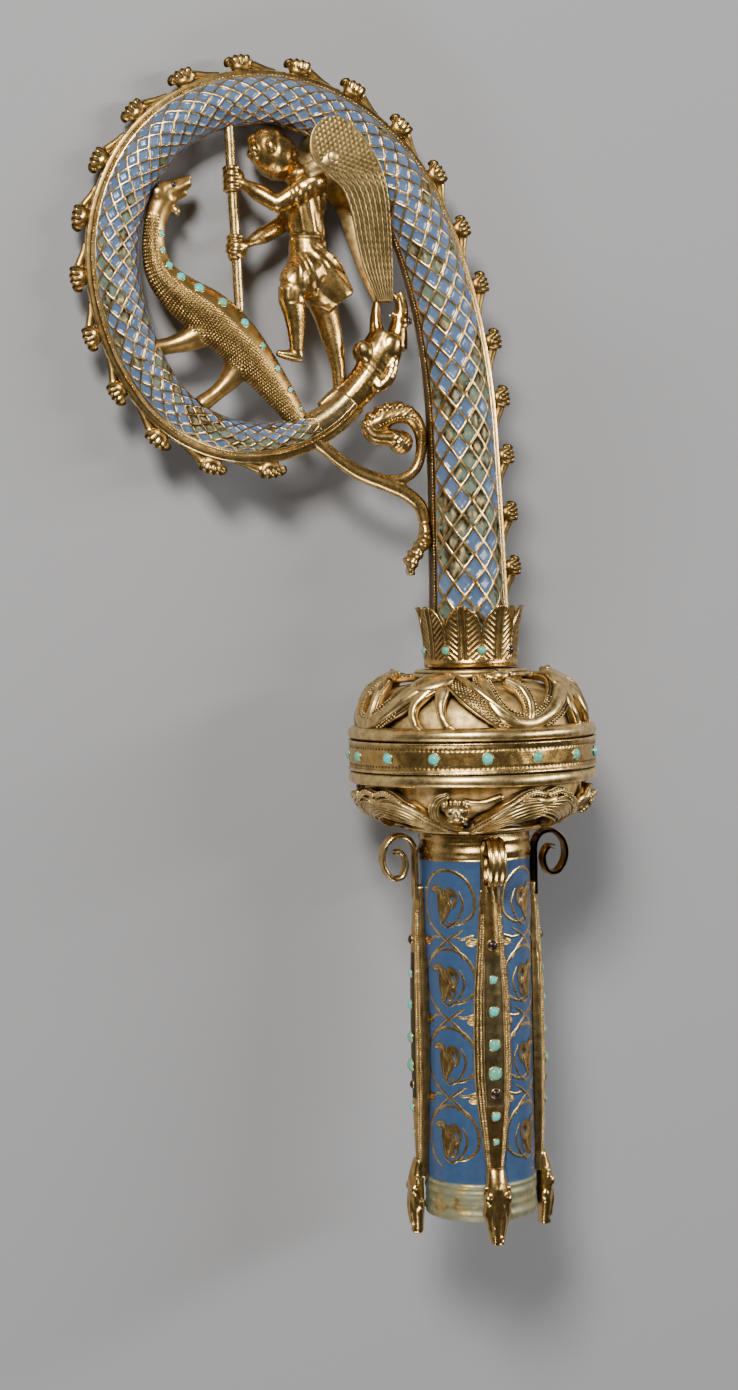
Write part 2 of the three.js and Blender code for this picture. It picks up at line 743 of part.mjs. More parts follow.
/** Lower openwork: four masks between pairs of drop-shaped wings. */
function makeKnopLower() {
  const rimProfile = [
    [30.2, -5.6],
    [30.2, -2.8],
    [32.9, -2.8],
    [32.3, -5.8],
  ];
  const collarProfile = [
    [15.2, -17.6],
    [18.2, -17.0],
    [18.4, -18.6],
    [15.2, -19.0],
  ];
  const rim = solid(turned(rimProfile, 20));
  const collar = solid(turned(collarProfile, 12));
  const mask = [
    [0, -1.2, 2.6, 1.4],
    [0, 6, 3.2, 2.1],
    [0, 12, 2.2, 1.7],
    [0, 21.4, 1.6, 1.3],
  ];
  const wing = [
    [4, 18, 1.6, 1.3],
    [12, 14, 2.4, 1.5],
    [26, 9.5, 3.6, 1.7],
    [38, 6.0, 4.2, 1.7],
    [45, 4.4, 3.6, 1.6],
  ];
  const unitAngle = 360 / KNOP_UNITS;
  const parts = [rim, collar];
  for (let unit = 0; unit < KNOP_UNITS; unit += 1) {
    const start = -22 + unit * unitAngle;
    const placed = (stations, side) => stations.map(([angle, ...rest]) => [start + side * angle, ...rest]);
    parts.push(ribbon(LOWER_BOWL, placed(mask, 1)));
    for (const side of [-1, 1]) {
      parts.push(ribbon(LOWER_BOWL, placed(wing, side)));
    }
  }
  return join(parts);
}

function makeGirdle() {
  const { top, bottom, inner } = GIRDLE;
  const profile = [
    [inner, bottom],
    [KNOP_RADIUS, bottom],
    [KNOP_RADIUS - 0.3, bottom + 1.3],
    [KNOP_RADIUS - 0.3, top - 1.3],
    [KNOP_RADIUS, top],
    [inner, top],
  ];
  return solid(turned(profile, 24));
}

/** The lining shell behind the openwork, open above and below. */
function makeLiner() {
  const WALL = 0.8;
  const outer = [
    [12.4, 20.0],
    [20.6, 18.8],
    [25.6, 15.4],
    [28.4, 9.5],
    [28.4, -9.0],
    [24.6, -13.0],
    [15.6, -15.8],
  ];
  const inner = outer.map(([r, z]) => [r - WALL, z > 15 || z < -12 ? z - Math.sign(z) * WALL : z]).reverse();
  return solid(turned([...outer, ...inner], 14));
}

/** A low cabochon whose flat back lies on the XY plane. */
function cabochon(radius, height) {
  const profile = [[0, 0], [radius, 0], [radius * 0.86, height * 0.6], [0, height]];
  const points = profile.map(([r, z]) => new THREE.Vector2(r, z));
  return new THREE.LatheGeometry(points, 6).rotateX(Math.PI / 2);
}

// ---- The socket and its lizards ----

function makeSocket() {
  const { top, bottom, radius, bore } = SOCKET;
  const profile = [
    [bore, bottom],
    [radius + 0.2, bottom],
    [radius + 0.5, bottom + 1.2],
    [radius, bottom + 2.6],
    [radius + 0.4, bottom + 9.4],
    [radius, bottom + 10],
    [radius, top - 6.9],
    [radius + 0.4, top - 6.2],
    [radius + 0.2, top],
    [bore, top],
  ];
  return solid(turned(profile, 20));
}

/** A lizard at the front: its body lies down the socket and its tail rolls into a scroll under the knop. */
function makeLizard() {
  const wall = SOCKET.radius + 0.6 + GAP;
  // Height, half width and thickness of the body where it lies on the socket.
  const body = [
    [-34, 2.6, 1.3],
    [-46, 3.4, 2.0],
    [-60, 4.6, 2.7],
    [-82, 4.9, 2.8],
    [-98, 3.2, 2.3],
    [-106, 2.3, 2.0],
    [-110.5, 2.4, 2.4],
  ];
  const steps = 5;
  const from = body[0][0];
  const to = body[body.length - 1][0];
  const descending = (k) => body.map((row) => [-row[0], row[k]]);
  const trunk = bentBox(3, 1, steps, (u, w, v) => {
    const z = from + (to - from) * v;
    const across = (u - 0.5) * 2 * lookUp(descending(1), -z);
    const arch = Math.cos((u - 0.5) * Math.PI * 0.86);
    const high = w * lookUp(descending(2), -z) * (0.25 + 0.75 * arch);
    const a = across / wall;
    return new THREE.Vector3((wall + high) * Math.sin(a), -(wall + high) * Math.cos(a), z);
  });
  const skull = [
    [0, -wall - 1.6, -109, 2.3, 1.5],
    [0, -wall - 2.1, -113, 3.5, 2.1],
    [0, -wall - 2.1, -117.5, 3.7, 2.2],
    [0, -wall - 1.9, -122, 2.7, 1.9],
    [0, -wall - 1.6, -126.6, 1.6, 1.2],
  ];
  // The strap of the tail in the radial plane: radius and height.
  const strap = [
    [wall + 0.75, -36],
    [wall + 0.75, -29],
    [wall + 0.95, -23],
    [18.6, -20.4],
    [22.0, -20.4],
    [24.6, -23.4],
    [24.9, -27.6],
    [22.6, -31.4],
    [19.8, -31.0],
    [18.6, -27.4],
    [20.0, -24.4],
    [22.0, -24.4],
  ];
  const squareTurn = 45; // four sides with this turn and the diagonal's widths make a flat strap
  const halfThick = 0.65 * Math.SQRT2;
  const halfWide = 2.4 * Math.SQRT2;
  const scroll = limb(strap.map(([r, z]) => [0, -r, z, halfThick, halfWide]), {
    sides: 4,
    steps: 12,
    depthWay: new THREE.Vector3(1, 0, 0),
    turn: squareTurn,
  });
  return join([trunk, limb(skull), scroll]);
}

// ---- Finishes ----

const finish = (color, roughness, metalness) =>
  new THREE.MeshStandardMaterial({ color, roughness, metalness });
const gilt = () => finish(0xc09448, 0.35, 1);
const wornGilt = () => finish(0x9c7440, 0.42, 1);
const enamelled = () => finish(0x6f8db4, 0.3, 0.1);
const darkGilt = () => finish(0x5a4a22, 0.6, 0.8);
const turquoise = () => finish(0x3fbfae, 0.3, 0);

// ---- The upright head, and how it lies ----

const upright = new THREE.Group();
const rolled = new THREE.Group().add(upright);
rolled.rotation.z = degrees(LIE_ROLL);
const laid = new THREE.Group().add(rolled);
laid.rotation.x = degrees(-90 - LIE_TIP);
const root = new THREE.Group().add(laid);
root.updateMatrixWorld(true);

/** Adds a solid to the upright head as a named mesh with its own finish. */
function put(name, made, material) {
  const { vertProperties, triVerts, numProp } = made.getMesh();
  const geometry = new THREE.BufferGeometry();
  const positions = new THREE.InterleavedBuffer(new Float32Array(vertProperties), numProp);
  geometry.setAttribute("position", new THREE.InterleavedBufferAttribute(positions, 3, 0));
  geometry.setIndex(new THREE.BufferAttribute(new Uint32Array(triVerts), 1));
  const plain = geometry.toNonIndexed();
  plain.computeVertexNormals();
  const mesh = new THREE.Mesh(plain, material);
  mesh.name = name;
  upright.add(mesh);
  return mesh;
}

/** Adds a cabochon on a face: where its back's middle is, and the way that it looks. */
function putBead(name, place, way, radius) {
  const bead = new THREE.Mesh(cabochon(radius, BEAD_RISE * radius), turquoise());
  bead.name = name;
  bead.position.copy(place).addScaledVector(way, GAP);
  bead.quaternion.setFromUnitVectors(new THREE.Vector3(0, 0, 1), way);
  upright.add(bead);
}

/** The lowest height of a solid once it is laid down. */
function lowestOf(made) {
  const { vertProperties, numProp } = made.getMesh();
  const vertex = new THREE.Vector3();
  let lowest = Infinity;
  for (let i = 0; i < vertProperties.length; i += numProp) {
    vertex.fromArray(vertProperties, i).applyMatrix4(upright.matrixWorld);
    lowest = Math.min(lowest, vertex.z);
  }
  return lowest;
}

/** Everything under a height of the laid head, as a block in the upright frame. */
function blockUnder(height) {
  const SIZE = 800;
  const block = new THREE.BoxGeometry(SIZE, SIZE, SIZE);
  block.translate(0, 0, height - SIZE / 2);
  block.applyMatrix4(new THREE.Matrix4().copy(upright.matrixWorld).invert());
  return solid(block);
}

const crookRoom = join([crookBody(GAP), serpentHead()]);
const dragonRoom = dragonBody(GAP);
const pieces = [
  ["crook", makeCrook(), enamelled()],
  ["dragon", makeDragon(crookRoom), gilt()],
  ["saint", makeSaint(crookRoom, dragonRoom, lanceRod(GAP)), wornGilt()],
  ["lance", lanceRod(0).subtract(crookRoom).subtract(dragonRoom), gilt()],
  ["wing_front", makeWing(-1, crookRoom), darkGilt()],
  ["wing_back", makeWing(1, crookRoom), darkGilt()],
  ["tendril", makeTendril(crookRoom), wornGilt()],
  ["coronet", makeCoronet(), gilt()],
  ["knop_upper", makeKnopUpper(), wornGilt()],
  ["knop_girdle", makeGirdle(), gilt()],
  ["knop_lower", makeKnopLower(), wornGilt()],
  ["knop_liner", makeLiner(), darkGilt()],
  ["socket", makeSocket(), enamelled()],
];
const floorHeight = Math.min(...pieces.map(([, made]) => lowestOf(made))) + FLAT_DEPTH;
const underFloor = blockUnder(floorHeight);
for (const [name, made, material] of pieces) {
  put(name, lowestOf(made) < floorHeight ? made.subtract(underFloor) : made, material);
}
for (let i = 0; i < LIZARDS; i += 1) {
  const lizard = put("lizard_" + (i + 1), makeLizard(), gilt());
  lizard.rotation.z = degrees((360 / LIZARDS) * i);
}

for (let i = 0; i < GIRDLE_BEADS; i += 1) {
  if (i === SEAM_PLACE) continue;
  const angle = GIRDLE_BEAD_PHASE + (360 / GIRDLE_BEADS) * i;
  const height = (GIRDLE.top + GIRDLE.bottom) / 2;
  const place = roundPoint(angle, KNOP_RADIUS - 0.3, height);
  putBead("girdle_bead_" + (i + 1), place, roundPoint(angle, 1, 0), GIRDLE_BEAD_RADIUS);
}

for (let i = 0; i < CORONET.leaves; i += 1) {
  const angle = (360 / CORONET.leaves) * i;
  const outside = CORONET.inner + 1.7; // just outside the flare of the wall there
  const place = roundPoint(angle, outside, CORONET.beadHeight);
  putBead("coronet_bead_" + (i + 1), place, roundPoint(angle, 1, 0), CORONET.beadRadius);
}

const dragonLine = new THREE.CatmullRomCurve3(DRAGON_SPINE.map(([x, y, z]) => new THREE.Vector3(x, y, z)));
DRAGON_BEAD_RADII.forEach((radius, i) => {
  const last = DRAGON_SPINE.length - 1;
  const t = (DRAGON_BEADS_FROM + DRAGON_BEAD_STEP * i) / last;
  const along = dragonLine.getTangent(t);
  const ridge = new THREE.Vector3(along.z, 0, -along.x);
  const half = lookUp(DRAGON_SPINE.map((row, k) => [k / last, row[3]]), t);
  const lean = degrees(DRAGON_BEAD_LEAN);
  const place = dragonLine
    .getPoint(t)
    .addScaledVector(ridge, half * Math.sin(lean))
    .addScaledVector(new THREE.Vector3(0, -1, 0), DRAGON_FLATNESS * half * Math.cos(lean));
  const way = new THREE.Vector3(0, -Math.cos(lean), 0)
    .addScaledVector(ridge, DRAGON_FLATNESS * Math.sin(lean))
    .normalize();
  putBead("dragon_bead_" + (i + 1), place, way, radius);
});

const box = new THREE.Box3().setFromObject(root, true);
const middle = box.getCenter(new THREE.Vector3());
laid.position.set(-middle.x, -middle.y, -box.min.z);

export default root;
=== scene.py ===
# %% [markdown]
# # The head of a bishop's crosier
# Gilt copper and champleve enamel: a serpent's body rises from a pierced knop and rolls into a volute that
# holds a winged saint and a dragon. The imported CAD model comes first, as a fixed frame. Every piece below is
# then shaped in the crosier's own upright frame, in millimetres, and laid down on the CAD model at the end.

# %% The frame
import json
import math
import random

import bmesh
import bpy
import numpy as np
from mathutils import Matrix, Vector
from mathutils.bvhtree import BVHTree


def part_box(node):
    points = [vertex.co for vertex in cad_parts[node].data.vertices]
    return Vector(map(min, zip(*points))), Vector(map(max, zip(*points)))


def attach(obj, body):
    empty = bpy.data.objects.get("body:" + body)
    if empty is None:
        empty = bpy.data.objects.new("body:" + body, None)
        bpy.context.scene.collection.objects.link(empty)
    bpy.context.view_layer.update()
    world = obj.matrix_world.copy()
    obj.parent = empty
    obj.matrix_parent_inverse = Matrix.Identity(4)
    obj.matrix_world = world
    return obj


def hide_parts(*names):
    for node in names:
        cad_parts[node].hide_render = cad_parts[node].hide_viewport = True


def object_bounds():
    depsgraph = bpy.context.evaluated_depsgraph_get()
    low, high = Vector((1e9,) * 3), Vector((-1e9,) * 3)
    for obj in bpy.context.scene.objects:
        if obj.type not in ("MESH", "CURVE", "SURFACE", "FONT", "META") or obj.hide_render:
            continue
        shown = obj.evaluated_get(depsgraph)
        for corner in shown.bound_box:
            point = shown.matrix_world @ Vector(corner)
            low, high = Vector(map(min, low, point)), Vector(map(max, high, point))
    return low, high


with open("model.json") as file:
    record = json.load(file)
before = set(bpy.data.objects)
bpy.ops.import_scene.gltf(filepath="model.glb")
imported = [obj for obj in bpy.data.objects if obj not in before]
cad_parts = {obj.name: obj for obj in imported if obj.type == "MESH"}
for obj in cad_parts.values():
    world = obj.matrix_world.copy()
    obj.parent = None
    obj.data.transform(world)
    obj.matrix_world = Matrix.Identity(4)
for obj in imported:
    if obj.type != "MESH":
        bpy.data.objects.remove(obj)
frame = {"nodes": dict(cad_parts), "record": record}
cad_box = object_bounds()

MM = 0.001
print("CAD nodes:", len(frame["nodes"]))

# %% [markdown]
# The head lies on its back, turned a little about the staff and tipped towards the knop. The same two turns
# as in the CAD source give the matrix that lays an upright piece down. The socket's mount is a point that is
# known in both frames, so it gives the shift as well, and nothing has to be fitted by eye.

# %% Laying an upright piece down
LIE_TIP = 6.7
LIE_ROLL = -5.8
SOCKET_BOTTOM = -120.5
MOUNT_RADIUS = 13.8


def turn(angle, axis):
    return Matrix.Rotation(math.radians(angle), 4, axis)


def round_point(angle, radius, height):
    """A point at an angle from the front (-Y) towards +X."""
    a = math.radians(angle)
    return Vector((radius * math.sin(a), -radius * math.cos(a), height))


mount = next(m for m in frame["record"]["mounts"] if m["name"] == "socket_mouth")
laying = turn(-90 - LIE_TIP, "X") @ turn(LIE_ROLL, "Z") @ Matrix.Scale(MM, 4)
laying = Matrix.Translation(Vector(mount["pos_m"]) - laying @ round_point(45, MOUNT_RADIUS, SOCKET_BOTTOM)) @ laying
print("the knop's middle lies at", [round(c, 4) for c in laying.translation])

# %% [markdown]
# A finished piece's object stays at the origin, so the laying goes into its mesh. Two numbers are kept on
# each vertex as well: how deep it sits in a hollow, and how far it stands out on an edge. Old gilding is
# dark in the first, from soiling and from painted shade, and rubbed bright or bare on the second, so the finishes read
# them.

# %% Turning a bmesh into a piece


def join_doubles(bm, distance=0.01):
    bmesh.ops.remove_doubles(bm, verts=bm.verts[:], dist=distance)


def mark_relief(mesh, reach=6, full=0.12):
    """Stores how hollow and how exposed each vertex is, against a smoothed copy of the surface (in mm).

    A darkening that a piece already carries, from 0 to 1, counts as hollow too: painted shade in grooves and under
    edges, with soiling.
    """
    count = len(mesh.vertices)
    place = np.empty(count * 3)
    mesh.vertices.foreach_get("co", place)
    place = place.reshape(-1, 3)
    normal = np.empty(count * 3)
    mesh.vertices.foreach_get("normal", normal)
    normal = normal.reshape(-1, 3)
    ends = np.empty(len(mesh.edges) * 2, dtype=np.int64)
    mesh.edges.foreach_get("vertices", ends)
    a, b = ends.reshape(-1, 2).T
    degree = np.maximum(np.bincount(a, minlength=count) + np.bincount(b, minlength=count), 1)[:, None]
    smooth = place.copy()
    for _ in range(reach):
        total = np.zeros_like(smooth)
        for axis in range(3):
            total[:, axis] = np.bincount(a, smooth[b, axis], count) + np.bincount(b, smooth[a, axis], count)
        smooth = 0.4 * smooth + 0.6 * total / degree
    height = ((place - smooth) * normal).sum(1)
    # Carried painted shade and soiling, set on the straps' grooves and undersides.
    soil_and_shade_marks = np.zeros(count, dtype=np.float32)
    if "soil_and_shade_marks" in mesh.attributes:
        mesh.attributes["soil_and_shade_marks"].data.foreach_get("value", soil_and_shade_marks)
    for name, value in (("hollow", -height / full + soil_and_shade_marks), ("edge", height / full - soil_and_shade_marks)):
        store = mesh.attributes.new(name, "FLOAT", "POINT")
        store.data.foreach_set("value", np.clip(value, 0, 1).astype(np.float32))


def finish_piece(bm, name, finishes, stands_for=(), reach=6, full=0.12, tidy=True):
    """Writes a bmesh made in the upright frame, in mm, as a laid piece with its finishes."""
    if tidy:
        bmesh.ops.recalc_face_normals(bm, faces=bm.faces[:])
    mesh = bpy.data.meshes.new(name)
    bm.to_mesh(mesh)
    bm.free()
    return finish_mesh(mesh, name, finishes, stands_for, reach, full)


def finish_mesh(mesh, name, finishes, stands_for=(), reach=6, full=0.12):
    mark_relief(mesh, reach, full)
    mesh.transform(laying)
    mesh.shade_smooth()
    for finish in finishes:
        mesh.materials.append(finish)
    piece = bpy.data.objects.new(name, mesh)
    bpy.context.scene.collection.objects.link(piece)
    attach(piece, "root")
    if stands_for:
        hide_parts(*stands_for)
    print(name, len(mesh.polygons), "faces")
    return piece


# %% [markdown]
# Two shapes come again and again. A plate is a flat grid that is bent to its place, and a limb is a closed
# rod that tapers through stations. Both start from a bmesh operator and only then move their vertices.

# %% Plates and limbs


def look_up(table, x):
    """The value at x in a table of (x, value) rows, straight between them."""
    return float(np.interp(x, [row[0] for row in table], [row[1] for row in table]))


def bend(verts, place):
    for v in verts:
        v.co = place(v.co)


def grid(bm, across, along):
    """A flat grid with x and y from 0 to 1."""
    made = bmesh.ops.create_grid(bm, x_segments=across, y_segments=along, size=0.5)["verts"]
    bmesh.ops.translate(bm, verts=made, vec=(0.5, 0.5, 0))
    return made


def spline(points, t):
    """A point at t (0 to 1) on a smooth curve through the points, each a tuple of any length."""
    count = len(points) - 1
    k = min(int(t * count), count - 1)
    f = t * count - k
    p0, p1, p2, p3 = (points[min(max(k + i, 0), count)] for i in (-1, 0, 1, 2))
    if k == 0:
        p0 = [2 * u - v for u, v in zip(p1, p2)]
    if k == count - 1:
        p3 = [2 * v - u for u, v in zip(p1, p2)]
    return [
        0.5 * (2 * b + (c - a) * f + (2 * a - 5 * b + 4 * c - d) * f * f + (3 * b - a - 3 * c + d) * f**3)
        for a, b, c, d in zip(p0, p1, p2, p3)
    ]


def limb(bm, stations, sides=12, steps=None, depth_way=(0, 1, 0), shape=None):
    """A closed rod through stations of (x, y, z, half width[, half depth]), its depth along depth_way."""
    rows = [tuple(s) + (s[3],) * (5 - len(s)) for s in stations]
    steps = steps or 3 * (len(rows) - 1)
    depth_way = Vector(depth_way)
    made = bmesh.ops.create_circle(bm, cap_ends=True, segments=sides, radius=1)
    ring = made["verts"]
    rings = [ring]
    face = ring[0].link_faces[0]
    for step in range(steps):
        moved = bmesh.ops.extrude_face_region(bm, geom=[face])["geom"]
        if step:
            bmesh.ops.delete(bm, geom=[face], context="FACES_ONLY")
        face = next(g for g in moved if isinstance(g, bmesh.types.BMFace))
        rings.append([next(e.other_vert(v) for e in v.link_edges if e.other_vert(v) in face.verts) for v in rings[-1]])
    for i, ring in enumerate(rings):
        t = i / steps
        x, y, z, wide, deep = spline(rows, t)
        ahead = spline(rows, min(t + 0.01, 1))
        behind = spline(rows, max(t - 0.01, 0))
        way = Vector([p - q for p, q in zip(ahead[:3], behind[:3])]).normalized()
        across = depth_way.cross(way).normalized()
        depth = way.cross(across)
        for k, v in enumerate(ring):
            a = 2 * math.pi * k / sides
            grow = shape(t, a) if shape else 1
            v.co = Vector((x, y, z)) + grow * (wide * math.cos(a) * across + deep * math.sin(a) * depth)
    return [v for ring in rings for v in ring]


def lump(bm, centre, half, tip=0, fine=2):
    """An egg with the given half sizes, tipped in the XZ plane."""
    place = Matrix.Translation(centre) @ turn(tip, "Y") @ Matrix.Diagonal((*half, 1))
    return bmesh.ops.create_icosphere(bm, subdivisions=fine, radius=1, matrix=place)["verts"]


# %% [markdown]
# Cast figures are many limbs that flow into each other. Overlapping limbs are remeshed into one skin with
# small even faces, then smoothed, and only then get their folds, scales and feathers.

# %% Casting overlapping limbs into one skin


def cast(bm, cell=0.28, smooth=4, name="casting"):
    """The union of everything in bm as one smooth bmesh of small faces."""
    bmesh.ops.recalc_face_normals(bm, faces=bm.faces[:])
    mesh = bpy.data.meshes.new(name)
    bm.to_mesh(mesh)
    bm.free()
    rough = bpy.data.objects.new(name, mesh)
    bpy.context.scene.collection.objects.link(rough)
    remesh = rough.modifiers.new("remesh", "REMESH")
    remesh.mode = "VOXEL"
    remesh.voxel_size = cell
    evaluated = rough.evaluated_get(bpy.context.evaluated_depsgraph_get())
    out = bmesh.new()
    out.from_mesh(evaluated.to_mesh())
    evaluated.to_mesh_clear()
    bpy.data.objects.remove(rough)
    bpy.data.meshes.remove(mesh)
    for _ in range(smooth):
        bmesh.ops.smooth_vert(out, verts=out.verts[:], factor=0.5, use_axis_x=True, use_axis_y=True, use_axis_z=True)
    return out


def emboss(bm, height):
    """Moves each vertex along its normal by height(co), in mm."""
    bm.normal_update()
    moves = [(v, v.normal * height(v.co)) for v in bm.verts]
    for v, move in moves:
        v.co += move


# %% [markdown]
# ## Finishes
# Mercury gilding on copper is a warm mirror where it is whole, brown where it is rubbed through, and olive
# with a trace of green corrosion in the hollows. Hollows and deep corners also get painted shade in the same olive.
# One recipe with a few settings makes all the metal, and it reads the two numbers that every piece carries.

# %% Node helpers


def new_finish(name):
    finish = bpy.data.materials.new(name)
    finish.use_nodes = True
    return finish, finish.node_tree, finish.node_tree.nodes["Principled BSDF"]


def add(tree, kind, inputs=None, **settings):
    node = tree.nodes.new(kind)
    for key, value in settings.items():
        setattr(node, key, value)
    for key, value in (inputs or {}).items():
        if isinstance(value, bpy.types.NodeSocket):
            tree.links.new(value, node.inputs[key])
        else:
            node.inputs[key].default_value = value
    return node


def ramp(tree, source, stops):
    """A colour ramp with stops of (place, colour or grey)."""
    node = add(tree, "ShaderNodeValToRGB", {"Fac": source})
    while len(node.color_ramp.elements) < len(stops):
        node.color_ramp.elements.new(0.5)
    for element, (place, colour) in zip(node.color_ramp.elements, stops):
        element.position = place
        element.color = (*colour, 1) if isinstance(colour, tuple) else (colour, colour, colour, 1)
    return node.outputs["Color"]


def mix(tree, share, one, other, kind="MIX"):
    node = add(tree, "ShaderNodeMix", data_type="RGBA", blend_type=kind)
    for index, value in ((0, share), (6, one), (7, other)):
        if isinstance(value, bpy.types.NodeSocket):
            tree.links.new(value, node.inputs[index])
        else:
            node.inputs[index].default_value = (*value, 1) if isinstance(value, tuple) else value
    return node.outputs[2]


def reckon(tree, how, one, other=0.0, clamp=False):
    return add(tree, "ShaderNodeMath", {0: one, 1: other}, operation=how, use_clamp=clamp).outputs[0]


def millimetres(tree):
    """Object coordinates in millimetres."""
    where = add(tree, "ShaderNodeTexCoord").outputs["Object"]
    return add(tree, "ShaderNodeMapping", {"Vector": where, "Scale": (1000, 1000, 1000)}).outputs["Vector"]


def noise(tree, where, scale, detail=4.0, rough=0.6, bend_by=0.0):
    return add(
        tree,
        "ShaderNodeTexNoise",
        {"Vector": where, "Scale": scale, "Detail": detail, "Roughness": rough, "Distortion": bend_by},
    ).outputs["Fac"]


def kept(tree, name):
    return add(tree, "ShaderNodeAttribute", attribute_name=name).outputs["Fac"]


# %% Gilded copper
GOLD = (0.66, 0.40, 0.12)
PALE_GOLD = (0.90, 0.64, 0.27)
BROWN = (0.27, 0.125, 0.055)
OLIVE = (0.035, 0.025, 0.01)
GREEN = (0.09, 0.14, 0.10)


def gilded(name, whole=0.55, bright=GOLD, rubbed=BROWN, soil_and_shade_colour=OLIVE, dull=0.3, corroded=0.0, grain=0.25):
    """Gilding on copper: whole is the share of gilding left, dull its roughness, corroded the share of green."""
    finish, tree, shader = new_finish(name)
    where = millimetres(tree)
    patches = noise(tree, where, 0.11, 5, 0.62, 0.6)
    specks = noise(tree, where, 1.1, 4, 0.7)
    hollow = kept(tree, "hollow")
    edge = kept(tree, "edge")
    wear = reckon(tree, "ADD", reckon(tree, "MULTIPLY", patches, 0.75), reckon(tree, "MULTIPLY", specks, 0.25))
    gold_left = ramp(tree, wear, [(max(0.0, 0.96 - whole - 0.42), 0.0), (max(0.1, 0.96 - whole - 0.16), 1.0)])
    gold = mix(tree, edge, bright, PALE_GOLD)
    metal = mix(tree, gold_left, rubbed, gold)
    fine = noise(tree, where, 0.45, 3, 0.5)
    metal = mix(tree, ramp(tree, fine, [(0.3, 0.35), (0.62, 1.0)]), tuple(0.35 * c for c in bright), metal)
    # Painted shade: an ambient occlusion node darkens deep corners and the gaps between pieces towards olive, and
    # stands for soiling there too.
    open_air = add(tree, "ShaderNodeAmbientOcclusion", {"Distance": 2.2 * MM}, samples=6).outputs["AO"]
    occluded_shade = ramp(tree, open_air, [(0.2, 1.0), (0.8, 0.0)])
    soiling_and_painted_shade = reckon(tree, "MULTIPLY", reckon(tree, "MAXIMUM", hollow, occluded_shade), reckon(tree, "ADD", specks, 0.5), clamp=True)
    # The olive mix is soiling and patina in the hollows, plus painted shade where the occlusion is deep.
    colour = mix(tree, soiling_and_painted_shade, metal, soil_and_shade_colour)
    if corroded:
        patina = noise(tree, where, 0.2, 6, 0.65)
        share = ramp(tree, patina, [(0.68 - 0.3 * corroded, 0.0), (0.76 - 0.3 * corroded, 1.0)])
        green = reckon(tree, "MULTIPLY", share, reckon(tree, "ADD", hollow, 0.35 + 0.4 * corroded), clamp=True)
        colour = mix(tree, green, colour, GREEN)
        tree.links.new(reckon(tree, "SUBTRACT", 1.0, green, clamp=True), shader.inputs["Metallic"])
    else:
        shader.inputs["Metallic"].default_value = 1.0
    tree.links.new(colour, shader.inputs["Base Color"])
    rough = reckon(tree, "ADD", reckon(tree, "MULTIPLY", specks, 0.22), dull - 0.08)
    rough = reckon(tree, "ADD", rough, reckon(tree, "MULTIPLY", soiling_and_painted_shade, 0.3), clamp=True)
    tree.links.new(rough, shader.inputs["Roughness"])
    pits = reckon(tree, "ADD", reckon(tree, "MULTIPLY", specks, 0.5), reckon(tree, "MULTIPLY", noise(tree, where, 4.0, 3), 0.5))
    bump = add(tree, "ShaderNodeBump", {"Height": pits, "Strength": grain, "Distance": 0.15 * MM})
    tree.links.new(bump.outputs["Normal"], shader.inputs["Normal"])
    return finish


gilt = gilded("gilt copper", whole=0.6, dull=0.2)
worn_gilt = gilded("worn gilt copper", whole=0.4, dull=0.24)
olive_gilt = gilded("dull gilt copper", whole=0.5, bright=(0.3, 0.2, 0.075), rubbed=(0.13, 0.085, 0.035), dull=0.36)
liner_gilt = gilded("old gilding behind the openwork", whole=0.4, bright=(0.17, 0.125, 0.05), rubbed=(0.09, 0.07, 0.03), dull=0.55, corroded=0.3)
net_gilt = gilded("gilt lines between the enamel", whole=0.6, bright=(0.62, 0.38, 0.13), dull=0.26)
lost_cell = gilded("emptied enamel cells", whole=0.3, bright=(0.2, 0.17, 0.10), rubbed=(0.10, 0.085, 0.055), dull=0.5, corroded=0.7, grain=0.8)

# %% [markdown]
# The enamel is opaque blue glass, ground flush with the metal and polished, so it has a clear gloss over a
# soft colour. Each cell was filled by hand, and each took the fire a little differently: a number kept on
# each cell shifts its blue.

# %% Enamel


def enamelled(name, blue, pale, dull=0.22):
    finish, tree, shader = new_finish(name)
    where = millimetres(tree)
    cloud = noise(tree, where, 0.5, 5, 0.6)
    tone = kept(tree, "tone")
    share = reckon(tree, "ADD", reckon(tree, "MULTIPLY", cloud, 0.6), reckon(tree, "MULTIPLY", tone, 0.55), clamp=True)
    colour = mix(tree, share, blue, pale)
    pits = noise(tree, where, 2.6, 3, 0.6)
    colour = mix(tree, ramp(tree, pits, [(0.24, 0.55), (0.34, 0.0)]), colour, (0.05, 0.07, 0.09))
    tree.links.new(colour, shader.inputs["Base Color"])
    tree.links.new(reckon(tree, "ADD", reckon(tree, "MULTIPLY", cloud, 0.25), dull), shader.inputs["Roughness"])
    bump = add(tree, "ShaderNodeBump", {"Height": cloud, "Strength": 0.25, "Distance": 0.2 * MM})
    tree.links.new(bump.outputs["Normal"], shader.inputs["Normal"])
    return finish


volute_enamel = enamelled("lavender blue enamel", (0.05, 0.09, 0.165), (0.11, 0.16, 0.25), 0.12)
socket_enamel = enamelled("blue enamel of the socket", (0.024, 0.055, 0.125), (0.05, 0.1, 0.19), 0.2)

# %% Turquoise glass


def glass_paste(name, colour, other):
    finish, tree, shader = new_finish(name)
    where = millimetres(tree)
    veins = noise(tree, where, 0.6, 6, 0.7, 1.2)
    tree.links.new(mix(tree, ramp(tree, veins, [(0.35, 0.0), (0.65, 1.0)]), colour, other), shader.inputs["Base Color"])
    shader.inputs["Roughness"].default_value = 0.22
    bump = add(tree, "ShaderNodeBump", {"Height": veins, "Strength": 0.2, "Distance": 0.1 * MM})
    tree.links.new(bump.outputs["Normal"], shader.inputs["Normal"])
    return finish


